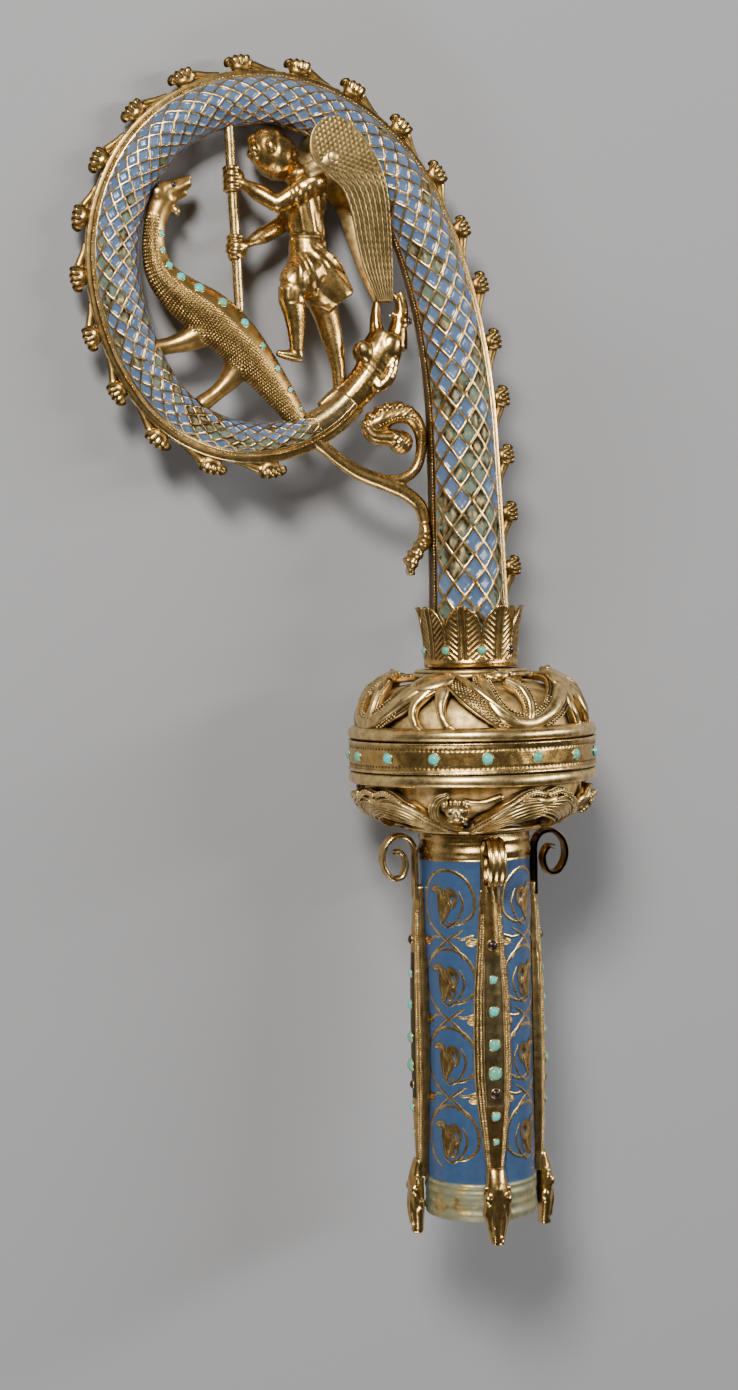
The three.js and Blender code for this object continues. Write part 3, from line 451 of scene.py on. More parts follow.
turquoise = glass_paste("turquoise glass", (0.045, 0.42, 0.36), (0.11, 0.55, 0.46))
green_turquoise = glass_paste("greened turquoise glass", (0.09, 0.3, 0.17), (0.13, 0.42, 0.3))
garnet = glass_paste("dark garnet glass", (0.012, 0.006, 0.004), (0.03, 0.012, 0.008))

# %% [markdown]
# ## The crook
# The crook is a tube of sheet copper along a chain of arcs. Its middle line is the CAD model's, so the skin
# lies on the solid. A skin like this is best drawn flat, with x round the tube and y along it, and then
# wrapped: on the flat sheet a net of lozenges is only a square grid turned by 45 degrees.

# %% The crook's middle line
STEM_FOOT_Z = 23.8
ARCS = [(62, 1.8)] + [(30, t) for t in (9.4, 11.9, 35.6, 43.7, 45.6, 37.5, 27, 54.9, 50.5)]
CROOK_LENGTH = 332
CROOK_THICKNESS = [(0, 21.9), (60, 19.2), (108, 17.2), (163, 13.8), (263, 13.6), (CROOK_LENGTH, 8.4)]
CREST_HEIGHT = 1.2


def crook_at(distance):
    """Place and heading of the middle line at a distance from the foot."""
    x, z, heading, left = 0.0, STEM_FOOT_Z, math.pi / 2, distance
    for i, (length, angle) in enumerate(ARCS):
        curl = math.radians(angle) / length
        run = left if i == len(ARCS) - 1 else min(left, length)
        x += (math.sin(heading + curl * run) - math.sin(heading)) / curl
        z -= (math.cos(heading + curl * run) - math.cos(heading)) / curl
        heading += curl * run
        left -= run
        if left <= 0:
            break
    return x, z, heading


def on_crook(distance, out, deep):
    x, z, heading = crook_at(distance)
    return Vector((x + out * math.sin(heading), deep, z - out * math.cos(heading)))


def tube_radius(distance):
    return look_up(CROOK_THICKNESS, distance) / 2 - CREST_HEIGHT / 2


def on_tube(distance, arc, high):
    """A point on the tube: arc in mm round from the crest (minus is the front), high over the surface."""
    radius = tube_radius(distance)
    a = arc / radius
    return on_crook(distance, (radius + high) * math.cos(a) - CREST_HEIGHT / 2, (radius + high) * math.sin(a))


print("the crook ends at", [round(c, 1) for c in crook_at(CROOK_LENGTH)[:2]])

# %% [markdown]
# The lozenges get smaller towards the serpent's head, but there are always as many across, so
# the sheet counts in cells and the wrap turns cells into millimetres. Cutting the turned grid to a strip
# and insetting every face leaves a net of thin lines with a cell in each mesh, all with operators.

# %% The net of lozenges
CELLS_ACROSS = 4.0
CELL_LENGTH = [(0, 7.5), (60, 6.8), (110, 5.7), (163, 4.9), (250, 4.7), (CROOK_LENGTH, 4.2)]
INNER_BAND = [(0, 4.4), (60, 4.0), (100, 3.2), (130, 2.2), (160, 1.0), (185, 0.5), (CROOK_LENGTH, 0.5)]
CREST_BAND = 4.1
ENAMEL_END = 318
LINE = 0.07
row_starts = [0.0]
while row_starts[-1] < ENAMEL_END:
    row_starts.append(row_starts[-1] + look_up(CELL_LENGTH, row_starts[-1]))
ROWS = len(row_starts) - 1
print("rows of lozenges:", ROWS)


def cell_place(side, cell):
    """From cells (x from the crest band to the inner band, y from the foot) to the tube."""
    distance = float(np.interp(cell.y, range(ROWS + 1), row_starts))
    half_round = math.pi * tube_radius(distance)
    span = half_round - CREST_BAND - look_up(INNER_BAND, distance)
    return on_tube(distance, side * (CREST_BAND + span * cell.x / CELLS_ACROSS), cell.z)


def loss_at(distance, side, x):
    """How likely a cell is to have lost its enamel."""
    rows = [(0, 0.5), (28, 0.7), (60, 0.85), (80, 0.6), (100, 0.3), (120, 0.12), (150, 0.02), (225, 0.02), (240, 0.4), (262, 0.55), (285, 0.5), (305, 0.75), (320, 0.95)]
    return look_up(rows, distance) * (0.65 + 0.35 * math.sin(1.3 * x + 0.11 * distance + side))


def lozenge_net(side, chance):
    bm = bmesh.new()
    tone = bm.faces.layers.float.new("tone")
    reach = ROWS + 8
    bmesh.ops.create_grid(bm, x_segments=2 * reach, y_segments=2 * reach, size=reach * math.sqrt(0.5))
    bmesh.ops.rotate(bm, verts=bm.verts[:], cent=(0, 0, 0), matrix=Matrix.Rotation(math.pi / 4, 3, "Z"))
    bmesh.ops.translate(bm, verts=bm.verts[:], vec=(0, ROWS // 2, 0))
    for point, away in (((0, 0, 0), (-1, 0, 0)), ((CELLS_ACROSS, 0, 0), (1, 0, 0)), ((0, 0, 0), (0, -1, 0)), ((0, ROWS, 0), (0, 1, 0))):
        bmesh.ops.bisect_plane(
            bm, geom=bm.verts[:] + bm.edges[:] + bm.faces[:], plane_co=point, plane_no=away, clear_outer=True, dist=1e-5
        )
    cells = bm.faces[:]
    for face in cells:
        face.material_index = 1
        face[tone] = chance.random()
    bmesh.ops.inset_individual(bm, faces=cells, thickness=LINE, use_even_offset=True)
    for face in bm.faces:
        face.material_index = 0
    for face in cells:
        face.material_index = 1
    lost = []
    for face in cells:
        middle = face.calc_center_median()
        distance = float(np.interp(middle.y, range(ROWS + 1), row_starts))
        if chance.random() < loss_at(distance, side, middle.x):
            face.material_index = 2
            lost.append(face)
    whole = [face for face in cells if face.material_index == 1]
    bmesh.ops.inset_individual(bm, faces=whole, thickness=0.004, depth=-0.05)
    bmesh.ops.inset_individual(bm, faces=lost, thickness=0.02, depth=-0.42)
    long_edges = [e for e in bm.edges if e.calc_length() > 0.22]
    bmesh.ops.subdivide_edges(bm, edges=long_edges, cuts=2, use_grid_fill=True)
    floor = {v for f in bm.faces if f.material_index == 2 for v in f.verts if v.co.z < -0.3}
    for v in floor:
        v.co.z += chance.uniform(-0.1, 0.22)
    bend(bm.verts, lambda co: cell_place(side, co))
    return bm, len(lost)


chance = random.Random(7)
net_sides = []
for side in (-1, 1):
    net, emptied = lozenge_net(side, chance)
    net_sides.append(net)
    print("side", side, "cells emptied:", emptied)

# %% [markdown]
# Between the nets run plain gilt bands: two beside the crest, one along the inside of the bend. Each is a
# strip of the flat sheet with its own cross section. The crest is a raised strip with a groove on each side.

# %% The gilt bands and the crest


def strip(bm, profile_at, steps, first, last):
    """A wrapped strip: profile_at(distance) gives its cross section as (arc, height) points."""
    count = len(profile_at(first))
    made = grid(bm, count - 1, steps)

    def place(co):
        distance = first + (last - first) * co.y
        arc, high = profile_at(distance)[round(co.x * (count - 1))]
        return on_tube(distance, arc, high)

    bend(made, place)
    return made


def crest_profile(distance):
    half = [(0, 1.28), (0.55, 1.24), (0.95, 1.08), (1.1, 0.8), (1.45, 0.1), (1.7, -0.1), (2.05, -0.1), (2.2, 0.12), (2.5, 0.14), (3.1, 0.1), (3.7, 0.14), (4.0, 0.12), (CREST_BAND, 0)]
    return [(-arc, high) for arc, high in reversed(half[1:])] + half


def inner_profile(distance):
    middle = math.pi * tube_radius(distance)
    half = look_up(INNER_BAND, distance)
    shares = [(-1, 0), (-0.97, 0.06), (-0.8, 0.1), (-0.6, 0.02), (-0.3, 0), (0, 0), (0.3, 0), (0.6, 0.02), (0.8, 0.1), (0.97, 0.06), (1, 0)]
    return [(middle + share * half, high) for share, high in shares]


def end_profile(distance):
    middle = math.pi * tube_radius(distance)
    return [(CREST_BAND + (middle - CREST_BAND) * 2 * i / 24, 0.0) for i in range(25)]


bands = bmesh.new()
strip(bands, crest_profile, 200, 0, CROOK_LENGTH)
strip(bands, inner_profile, 200, 0, ENAMEL_END + 1)
for side in (-1, 1):
    strip(bands, lambda d: [(side * (CREST_BAND + (math.pi * tube_radius(d) - CREST_BAND) * i / 10), 0.0) for i in range(11)], 10, ENAMEL_END, CROOK_LENGTH + 2)
bmesh.ops.recalc_face_normals(bands, faces=bands.faces[:])
print("band faces:", len(bands.faces))

# %% [markdown]
# The rows of dots on the bands were struck with a small ring punch and read as pearls. Each is a low-count
# ball sunk by half, set at even steps along the tube.

# %% Rows of pearls
PEARL = 0.27


def pearl_row(bm, arc_at, first, last, pitch=0.82, radius=PEARL):
    for k in range(int((last - first) / pitch)):
        distance = first + pitch * k
        centre = on_tube(distance, arc_at(distance), 0.12)
        bmesh.ops.create_icosphere(bm, subdivisions=1, radius=radius, matrix=Matrix.Translation(centre))


pearls = bmesh.new()
for side in (-1, 1):
    pearl_row(pearls, lambda d: side * 2.85, 2, CROOK_LENGTH - 4)
    pearl_row(pearls, lambda d: side * (math.pi * tube_radius(d) - 0.8 * look_up(INNER_BAND, d)), 2, 168)
print("pearls:", len(pearls.faces) // 20)

# %% [markdown]
# Twenty-two little paws stand on the crest, each at the end of an arm that lies along it. One paw is cast
# from limbs, then copied to every place, where the wrap bends it to the curve of the crook.

# %% Paws on the crest
CROCKETS = 22
CROCKET_START = 26
CROCKET_PITCH = 15.05


def paw_casting():
    """A paw in its own place: x along the crest, z out from it. Its toes stand side by side along the crest."""
    bm = bmesh.new()
    limb(bm, [(-9.0, 0, -0.3, 0.8, 0.5), (-6.0, 0, 0.2, 1.0, 0.7), (-3.2, 0, 1.2, 1.2, 0.8), (-0.6, 0, 2.0, 1.5, 1.1)], sides=10)
    lump(bm, (0.2, 0, 0.8), (2.6, 1.5, 1.5))
    for k, toe in enumerate((-1.75, -0.45, 0.85, 2.15)):
        top = 3.35 - 0.12 * abs(k - 1.2) ** 2
        limb(bm, [(0.5 * toe, 0, 0.4, 0.75, 1.2), (toe, 0, 2.0, 0.66, 1.45), (1.12 * toe + 0.1, 0, top, 0.72, 1.6), (1.15 * toe + 0.5, 0, top + 0.75, 0.4, 0.9)], sides=10)
    limb(bm, [(2.0, 0, 2.6, 0.8, 1.4), (3.2, 0, 2.9, 0.75, 1.3), (3.7, 0, 1.9, 0.6, 1.0), (3.3, 0, 1.2, 0.35, 0.6)], sides=10)
    return cast(bm, cell=0.34, smooth=1)


def crocket_places():
    places, walked = [CROCKET_START], 0.0
    before, distance = on_crook(CROCKET_START, look_up(CROOK_THICKNESS, CROCKET_START) / 2, 0), CROCKET_START
    while len(places) < CROCKETS:
        distance += 0.25
        here = on_crook(distance, look_up(CROOK_THICKNESS, distance) / 2 + 1, 0)
        walked += (here - before).length
        before = here
        if walked >= CROCKET_PITCH:
            places.append(distance)
            walked = 0.0
    return places


paw = paw_casting()
paw_mesh = bpy.data.meshes.new("paw")
paw.to_mesh(paw_mesh)
paw.free()
paws = bmesh.new()
for distance in crocket_places():
    before = len(paws.verts)
    paws.from_mesh(paw_mesh)
    paws.verts.ensure_lookup_table()
    edge = look_up(CROOK_THICKNESS, distance) / 2
    stretch = 1 + math.radians(45) / 30 * edge
    bend(paws.verts[before:], lambda co: on_crook(distance + co.x / stretch, edge + co.z, co.y))
print("paw faces:", len(paws.faces))

# %% [markdown]
# The crook ends in the serpent's head, its jaws open round the tip of the wings. Its skull, jaws, brows and
# curled ears are limbs cast into one skin, and the row of scales on its neck is pressed in afterwards.

# %% The serpent's head


def serpent_head():
    bm = bmesh.new()
    x, z, _ = crook_at(CROOK_LENGTH)
    limb(bm, [(x - 1.0, 0, z - 0.4, 4.1, 4.1), (-25.6, 0, 100.6, 4.7, 4.4), (-22.8, 0, 106.0, 5.6, 5.0), (-20.6, 0, 111.4, 4.5, 4.2)], sides=16)
    limb(bm, [(-18.6, 0, 107.5, 3.2, 3.9), (-17.6, 0, 113.5, 2.5, 3.1), (-16.8, 0, 118.5, 1.8, 2.3), (-17.4, 0, 122.6, 1.0, 1.3)], sides=12)
    limb(bm, [(-22.6, 0, 107.5, 3.0, 3.6), (-23.7, 0, 114.2, 1.7, 2.5), (-23.3, 0, 120.0, 1.0, 1.3)], sides=12)
    for side in (-1, 1):
        lump(bm, (-16.0, side * 3.0, 114.4), (1.5, 1.1, 1.6))
        lump(bm, (-27.2, side * 3.2, 106.6), (2.3, 1.6, 3.2), tip=-25)
        lump(bm, (-20.4, side * 4.0, 108.0), (2.5, 1.3, 3.4), tip=10)
        limb(bm, [(-19.6, side * 3.4, 105.0, 1.3), (-21.2, side * 3.8, 99.8, 1.8), (-24.4, side * 3.4, 97.0, 1.5), (-24.2, side * 3.6, 100.0, 0.9)], sides=8)
        limb(bm, [(-18.2, side * 2.0, 120.4, 0.7), (-19.6, side * 1.6, 122.0, 0.35)], sides=8)
        limb(bm, [(-18.4, side * 2.0, 116.0, 0.6), (-20.0, side * 1.8, 116.8, 0.3)], sides=8)
    head = cast(bm, cell=0.32, smooth=3)

    def carve(co):
        ridge = 0.05 * math.sin(3.4 * (co.x + 0.9 * co.z)) * max(0.0, 1 - abs(co.z - 101) / 5)
        lip = -0.3 * math.exp(-(((co.x + 15.6 + 0.22 * (co.z - 114)) / 0.5) ** 2)) * (co.z > 108)
        return ridge + lip

    emboss(head, carve)
    return head


head = serpent_head()
head_mesh = bpy.data.meshes.new("head")
head.to_mesh(head_mesh)
head.free()
print("serpent's head faces:", len(head_mesh.polygons))

# %% [markdown]
# The skin of enamel is one piece, with three finishes: the gilt lines, the glass and the emptied cells. The
# bands, pearls, paws and head are gilt castings, so they are a second piece over it.

# %% Joining the crook
skin = bmesh.new()
skin.faces.layers.float.new("tone")
for net in net_sides:
    part = bpy.data.meshes.new("net")
    net.to_mesh(part)
    net.free()
    skin.from_mesh(part)
    bpy.data.meshes.remove(part)
join_doubles(skin, 0.002)
finish_piece(skin, "crook_enamel", [net_gilt, volute_enamel, lost_cell], ["crook"], reach=3, full=0.2)
gilt_parts = bmesh.new()
for source in (bands, pearls, paws):
    part = bpy.data.meshes.new("part")
    source.to_mesh(part)
    source.free()
    gilt_parts.from_mesh(part)
    bpy.data.meshes.remove(part)
gilt_parts.from_mesh(head_mesh)
finish_piece(gilt_parts, "crook_gilding", [gilt], ["crook"], tidy=False)
eyes = bmesh.new()
for side in (-1, 1):
    lump(eyes, (-15.6, side * 3.9, 114.4), (0.8, 0.55, 0.8))
finish_piece(eyes, "serpent_eyes", [garnet], ["crook"])

# %% [markdown]
# ## The dragon
# The dragon is a solid casting. Its body was chased all over with small scales, except for a smooth strip
# that carries the turquoises, its legs and its throat. The scales are too small for the mesh, so each vertex
# keeps its place along and round the body, and the finish draws the scales there.

# %% Places along a body


def keep_flow(bm, stations, scaly_at):
    """Stores, in mm, how far along and round the spine each vertex is, and how scaly it is."""
    flow = bm.verts.layers.float_vector.new("flow")
    scaly = bm.verts.layers.float.new("scaly")
    count = 240
    line = np.array([spline([s[:4] for s in stations], i / (count - 1)) for i in range(count)])
    along = np.concatenate([[0], np.cumsum(np.linalg.norm(np.diff(line[:, :3], axis=0), axis=1))])
    way = np.gradient(line[:, :3], axis=0)
    way /= np.linalg.norm(way, axis=1)[:, None]
    for v in bm.verts:
        co = np.array(v.co)
        k = int(np.argmin(((line[:, :3] - co) ** 2).sum(1)))
        off = co - line[k, :3]
        across = np.cross((0, 1, 0), way[k])
        around = math.atan2(-off[1], float(off @ across))
        run = along[k] + float(off @ way[k])
        v[flow] = (run, around * max(line[k, 3], 1.5), float(np.linalg.norm(off)))
        v[scaly] = scaly_at(run / along[-1], around, float(np.linalg.norm(off)) - line[k, 3])


def scaled(name, pitch=0.8, depth=0.22, **gilding):
    """A gilded finish with rows of small chased scales where the piece is scaly."""
    finish = gilded(name, **gilding)
    tree = finish.node_tree
    shader = tree.nodes["Principled BSDF"]
    before = shader.inputs["Normal"].links[0].from_node
    flow = add(tree, "ShaderNodeAttribute", attribute_name="flow").outputs["Vector"]
    split = add(tree, "ShaderNodeSeparateXYZ", {"Vector": flow}).outputs
    row = reckon(tree, "DIVIDE", split["X"], pitch)
    odd = reckon(tree, "MULTIPLY", reckon(tree, "MODULO", reckon(tree, "FLOOR", row), 2.0), 0.5)
    place = reckon(tree, "ADD", reckon(tree, "DIVIDE", split["Y"], pitch), odd)
    x = reckon(tree, "SUBTRACT", reckon(tree, "FRACT", row), 0.5)
    y = reckon(tree, "SUBTRACT", reckon(tree, "FRACT", place), 0.5)
    away = add(tree, "ShaderNodeCombineXYZ", {"X": x, "Y": y})
    far = add(tree, "ShaderNodeVectorMath", {0: away.outputs[0]}, operation="LENGTH").outputs["Value"]
    bead = ramp(tree, far, [(0.12, 1.0), (0.5, 0.0)])
    height = reckon(tree, "MULTIPLY", bead, kept(tree, "scaly"))
    bump = add(tree, "ShaderNodeBump", {"Height": height, "Strength": 1.0, "Distance": depth * MM})
    tree.links.new(before.outputs["Normal"], bump.inputs["Normal"])
    tree.links.new(bump.outputs["Normal"], shader.inputs["Normal"])
    base = shader.inputs["Base Color"].links[0].from_socket
    # Grooves between the scales are mixed towards olive: soiling, and painted shade in the grooves.
    groove = reckon(tree, "MULTIPLY", reckon(tree, "SUBTRACT", 1.0, bead), reckon(tree, "MULTIPLY", kept(tree, "scaly"), 0.8))
    tree.links.new(mix(tree, groove, base, OLIVE), shader.inputs["Base Color"])
    return finish


scaled_gilt = scaled("chased gilt copper", whole=0.52, dull=0.3)
print("finishes so far:", len(bpy.data.materials))

# %% The dragon's body
DRAGON_SPINE = [
    (-43.6, 0, 86.6, 2.8), (-46.4, 0, 91.2, 3.2), (-50.4, 0, 97.0, 4.2), (-55.4, 0, 103.6, 5.3),
    (-61.0, 0, 110.3, 6.2), (-67.6, 0, 116.4, 6.3), (-74.3, 0, 121.0, 5.4), (-79.2, 0, 126.0, 4.2),
    (-81.2, 0, 131.6, 3.2), (-81.2, 0, 137.4, 2.8), (-80.0, 0, 142.6, 3.1), (-78.0, 0, 146.4, 3.4),
]
DRAGON_FLATNESS = 0.85
BEAD_LEAN = 40


def dragon_casting():
    bm = bmesh.new()
    limb(bm, [(x, y, z, r, DRAGON_FLATNESS * r) for x, y, z, r in DRAGON_SPINE], sides=20, steps=44)
    for leg in (
        [(-66.8, 0, 113.6, 5.2, 4.9), (-72.4, 0, 110.2, 3.3, 3.5), (-78.0, 0, 108.3, 2.2, 2.7), (-84.4, 0, 107.4, 2.5, 3.1)],
        [(-58.8, 0, 107.2, 5.0, 4.8), (-61.6, 0, 100.9, 3.2, 3.4), (-65.6, 0, 96.6, 2.1, 2.7), (-70.4, 0, 93.0, 2.4, 3.1)],
    ):
        limb(bm, leg, sides=16)
    limb(bm, [(-79.4, 0, 144.6, 2.9, 2.8), (-78.2, 0, 147.2, 3.1, 3.1), (-75.4, 0, 148.6, 2.3, 2.6), (-73.0, 0, 149.8, 1.9, 2.1), (-71.6, 0, 150.4, 1.5, 1.6)], sides=16)
    limb(bm, [(-78.4, 0, 144.8, 2.2, 2.1), (-75.6, 0, 146.4, 1.5, 1.6), (-72.6, 0, 147.6, 1.1, 1.2)], sides=12)
    for side in (-1, 1):
        lump(bm, (-80.0, side * 2.5, 147.0), (1.5, 0.8, 1.6), tip=20)
        lump(bm, (-76.4, side * 2.2, 148.6), (1.15, 0.8, 1.15))
        lump(bm, (-75.4, side * 0.9, 142.6), (1.1, 1.0, 1.4), tip=-30)
        lump(bm, (-71.9, side * 0.9, 151.3), (0.7, 0.6, 0.6))
    return cast(bm, cell=0.33, smooth=4)


def dragon_scales(t, around, over):
    smooth_strip = math.exp(-(((math.degrees(around) - 90 + BEAD_LEAN) / 26) ** 2)) + math.exp(-(((math.degrees(around) + 90 - BEAD_LEAN) / 26) ** 2))
    body = min(1.0, max(0.0, 1.0 - 1.2 * max(over - 0.5, 0)))
    neck = 1.0 if t < 0.9 else max(0.0, 1 - (t - 0.9) / 0.03)
    return max(0.0, min(1.0, body * neck * (1 - 1.3 * smooth_strip)))


dragon = dragon_casting()
keep_flow(dragon, DRAGON_SPINE, dragon_scales)
dragon_tree = BVHTree.FromBMesh(dragon)
finish_piece(dragon, "dragon_casting", [scaled_gilt], ["dragon"], full=0.14)
dragon_eyes = bmesh.new()
for side in (-1, 1):
    lump(dragon_eyes, (-76.2, side * 2.85, 148.9), (0.75, 0.5, 0.75))
finish_piece(dragon_eyes, "dragon_eyes", [garnet])

# %% [markdown]
# ## The saint
# The saint is one casting too: head, body, arms and legs, with a belted tunic. Limbs give the masses, fingers
# wrap the lance, and the folds are pressed into the cloth afterwards, fanning out from the hip.

# %% The saint's limbs
LANCE_TOP = Vector((-61.3, 0, 166))
LANCE_FOOT = Vector((-59.5, 0, 116))
HEAD = Vector((-50.4, 0, 157.9))
FACE_WAY = -113


def head_place(forward, low, side):
    a = math.radians(FACE_WAY)
    way = Vector((math.sin(a), 0, math.cos(a)))
    down = Vector((way.z, 0, -way.x))
    return HEAD + forward * way + low * down + Vector((0, side, 0))


def fist(bm, centre, palm_way):
    """Four fingers round the lance and the palm behind them."""
    centre = Vector(centre)
    lump(bm, centre + Vector((1.3, 0, 0)), (2.0, 2.3, 3.0))
    for k in range(4):
        height = 2.6 - 1.72 * k
        ring = []
        for a in (-40, 10, 65, 120, 170, 215):
            b = math.radians(a)
            ring.append((centre.x - 2.0 * math.sin(b) * 0.95, centre.y - palm_way * 2.25 * math.cos(b), centre.z + height, 0.86))
        limb(bm, ring, sides=8, depth_way=(0, 0, 1))
    limb(bm, [(centre.x + 1.6, centre.y + palm_way * 1.6, centre.z + 2.2, 0.9), (centre.x - 0.2, centre.y + palm_way * 2.3, centre.z + 3.0, 0.75)], sides=8, depth_way=(0, 0, 1))


def saint_arm(bm, side, elbow, hand):
    shoulder = (-39.8, side * 4.7, 149.9)
    between = tuple((a + b) / 2 for a, b in zip(shoulder, elbow))
    wrist = tuple(b + (a - b) * 0.2 for a, b in zip(elbow, hand))
    fore = tuple((a + b) / 2 for a, b in zip(elbow, hand))
    limb(bm, [(*shoulder, 3.1), (*between, 2.9), (*elbow, 2.35)], sides=14, depth_way=(0, 1, 0.2))
    limb(bm, [(*elbow, 2.3), (*fore, 2.25), (*wrist, 1.5), (*hand, 1.4)], sides=14, depth_way=(0, 1, 0.2))
    lump(bm, elbow, (2.3, 2.3, 2.3))
    lump(bm, shoulder, (3.3, 3.0, 3.3))


def saint_head(bm):
    tip = FACE_WAY + 90
    lump(bm, HEAD, (5.4, 5.0, 7.0), tip, 3)
    lump(bm, head_place(-1.1, -1.6, 0), (5.7, 5.7, 5.9), tip, 3)
    lump(bm, head_place(2.9, 5.0, 0), (1.8, 2.0, 1.5), tip)
    lump(bm, head_place(4.2, -0.7, 0), (0.9, 3.0, 0.7), tip)
    limb(bm, [(*head_place(4.7, -0.6, 0), 0.5), (*head_place(5.4, 1.0, 0), 0.6), (*head_place(5.6, 2.0, 0), 0.75)], sides=8)
    lump(bm, head_place(4.6, 3.5, 0), (0.5, 1.2, 0.36), tip)
    lump(bm, head_place(4.4, 4.2, 0), (0.45, 1.0, 0.34), tip)
    for side in (-1, 1):
        lump(bm, head_place(0.2, 0.8, side * 5.1), (1.2, 0.7, 1.8), tip)
        lump(bm, head_place(4.2, 2.0, side * 2.6), (1.3, 1.5, 1.6), tip)
        lump(bm, head_place(4.5, 0.3, side * 2.1), (0.9, 1.2, 0.75), tip)


def saint_casting():
    bm = bmesh.new()
    limb(bm, [(-41.2, 0, 132, 5.2, 4.8), (-41.6, 0, 137, 4.7, 4.5), (-41.8, 0, 142, 4.9, 4.9), (-41.2, 0, 147.4, 5.3, 5.5), (-41.4, 0, 151.4, 4.2, 4.8), (-43.0, 0, 153.4, 2.6, 3.0)], sides=20)
    limb(bm, [(-41.8, 0, 150.4, 3.1), (-45.0, 0, 153.2, 2.8), (-47.8, 0, 155.6, 2.7)], sides=16)
    lump(bm, (-40.6, 0, 128.6), (6.6, 5.8, 6.6), 8, 3)
    limb(bm, [(-40.4, -0.6, 128.0, 6.0, 5.6), (-43.6, -1.6, 125.4, 5.4, 4.8), (-46.6, -2.3, 122.6, 3.7, 3.5)], sides=18)
    limb(bm, [(-39.0, 0.4, 128.4, 5.8, 5.4), (-36.6, 0.6, 124.2, 6.0, 5.6), (-33.6, 0.6, 121.0, 5.2, 5.2), (-32.6, 0.6, 119.8, 4.6, 5.0)], sides=18)
    limb(bm, [(-42.4, -1.6, 124.4, 4.6, 3.8), (-46.3, -2.4, 121.6, 3.7, 3.5), (-45.6, -2.4, 116.6, 3.0, 3.0), (-45.2, -2.2, 111.2, 2.2, 2.3), (-45.0, -1.8, 106.0, 1.7, 1.9)], sides=16)
    limb(bm, [(-43.8, -1.8, 105.4, 1.7, 1.8), (-46.8, -1.8, 105.7, 1.5, 1.9), (-50.4, -1.8, 106.3, 0.8, 1.5)], sides=12)
    limb(bm, [(-38.2, 2.0, 122.6, 4.4, 4.0), (-36.4, 2.0, 116.4, 3.4, 3.3), (-35.0, 1.8, 110.4, 2.9, 2.9), (-33.7, 1.6, 103.6, 2.0, 2.1), (-33.3, 1.6, 98.0, 1.8, 1.9)], sides=16)
    limb(bm, [(-32.4, 1.6, 97.4, 1.7, 1.9), (-35.6, 1.4, 95.4, 1.5, 1.9), (-39.0, 1.2, 92.9, 0.9, 1.5)], sides=12)
    saint_arm(bm, -1, (-49.6, -4.4, 144.0), (-59.2, -0.4, 150.6))
    saint_arm(bm, 1, (-47.6, 3.8, 140.0), (-58.6, 0.4, 133.6))
    fist(bm, (-60.6, 0, 151.0), 1)
    fist(bm, (-60.0, 0, 133.4), 1)
    saint_head(bm)
    return cast(bm, cell=0.31, smooth=2)


# %% The saint's folds and hair


def fade(value, low, high):
    """0 below low, 1 above high, smooth between."""
    t = min(1.0, max(0.0, (value - low) / (high - low)))
    return t * t * (3 - 2 * t)


def saint_folds(co):
    high = 0.0
    tunic = fade(co.z, 116.4, 118.4) * (1 - fade(co.z, 134.6, 135.6)) * fade(-co.x, 28, 29)
    on_leg = fade(-co.x, 46.5, 48.5) * (1 - fade(co.z, 124, 126))
    if tunic > 0 and not (co.z < 118.8 and co.x < -36):
        around = math.atan2(co.z - 137.5, co.x + 45.5)
        reach = math.hypot(co.x + 45.5, co.z - 137.5)
        wave = math.sin(19 * around + 0.35 * co.y) * fade(reach, 5, 11)
        thin = 0.5 + 0.5 * math.sin(9 * around + 1.0)
        high += 0.42 * tunic * (1 - on_leg) * (abs(wave) ** 0.8 * (1 if wave > 0 else -1)) * (0.45 + 0.55 * thin)
    above = fade(co.z, 136.6, 137.6) * (1 - fade(co.z, 147, 150)) * fade(-co.x, 33, 35) * (1 - fade(-co.x, 46, 47.5))
    high += 0.16 * above * math.sin(2.3 * co.x + 0.5 * co.z)
    belt = math.exp(-(((co.z - 136.0 + 0.06 * co.x + 2.4) / 0.55) ** 2)) * fade(-co.x, 34, 35) * (1 - fade(-co.x, 48, 49))
    high -= 0.4 * belt
    off = Vector(co) - HEAD
    a = math.radians(FACE_WAY)
    forward = off.x * math.sin(a) + off.z * math.cos(a)
    low = off.x * math.cos(a) - off.z * math.sin(a)
    if off.length < 9.5:
        hair_edge = 1.6 - 0.55 * (low + 3.4) - 0.12 * abs(off.y)
        hair = fade(hair_edge - forward, 0, 0.5)
        locks = math.sin(2.4 * math.atan2(off.y, low + 6) * 3 + 0.8 * forward)
        high += hair * (0.22 + 0.06 * locks)
    return high


saint = saint_casting()
emboss(saint, saint_folds)
finish_piece(saint, "saint_casting", [worn_gilt], ["saint"], full=0.16)
saint_eyes = bmesh.new()
for side in (-1, 1):
    lump(saint_eyes, head_place(4.75, 0.75, side * 2.05), (0.62, 0.7, 0.5), FACE_WAY + 90)
finish_piece(saint_eyes, "saint_eyes", [garnet])
lance = bmesh.new()
limb(lance, [(*LANCE_FOOT, 1.3), (*((LANCE_FOOT + LANCE_TOP) / 2), 1.35), (*LANCE_TOP, 1.3)], sides=20, steps=30, shape=lambda t, a: 1 + 0.02 * math.sin(31 * t + a))
finish_piece(lance, "lance_rod", [worn_gilt], ["lance"])

# %% [markdown]
# ## The wings
# Each wing is a flat plate with its feathers engraved: small scales over the shoulder inside a plain border,
# then long quills to the tip. A fine grid between the two edges carries the engraving as height.

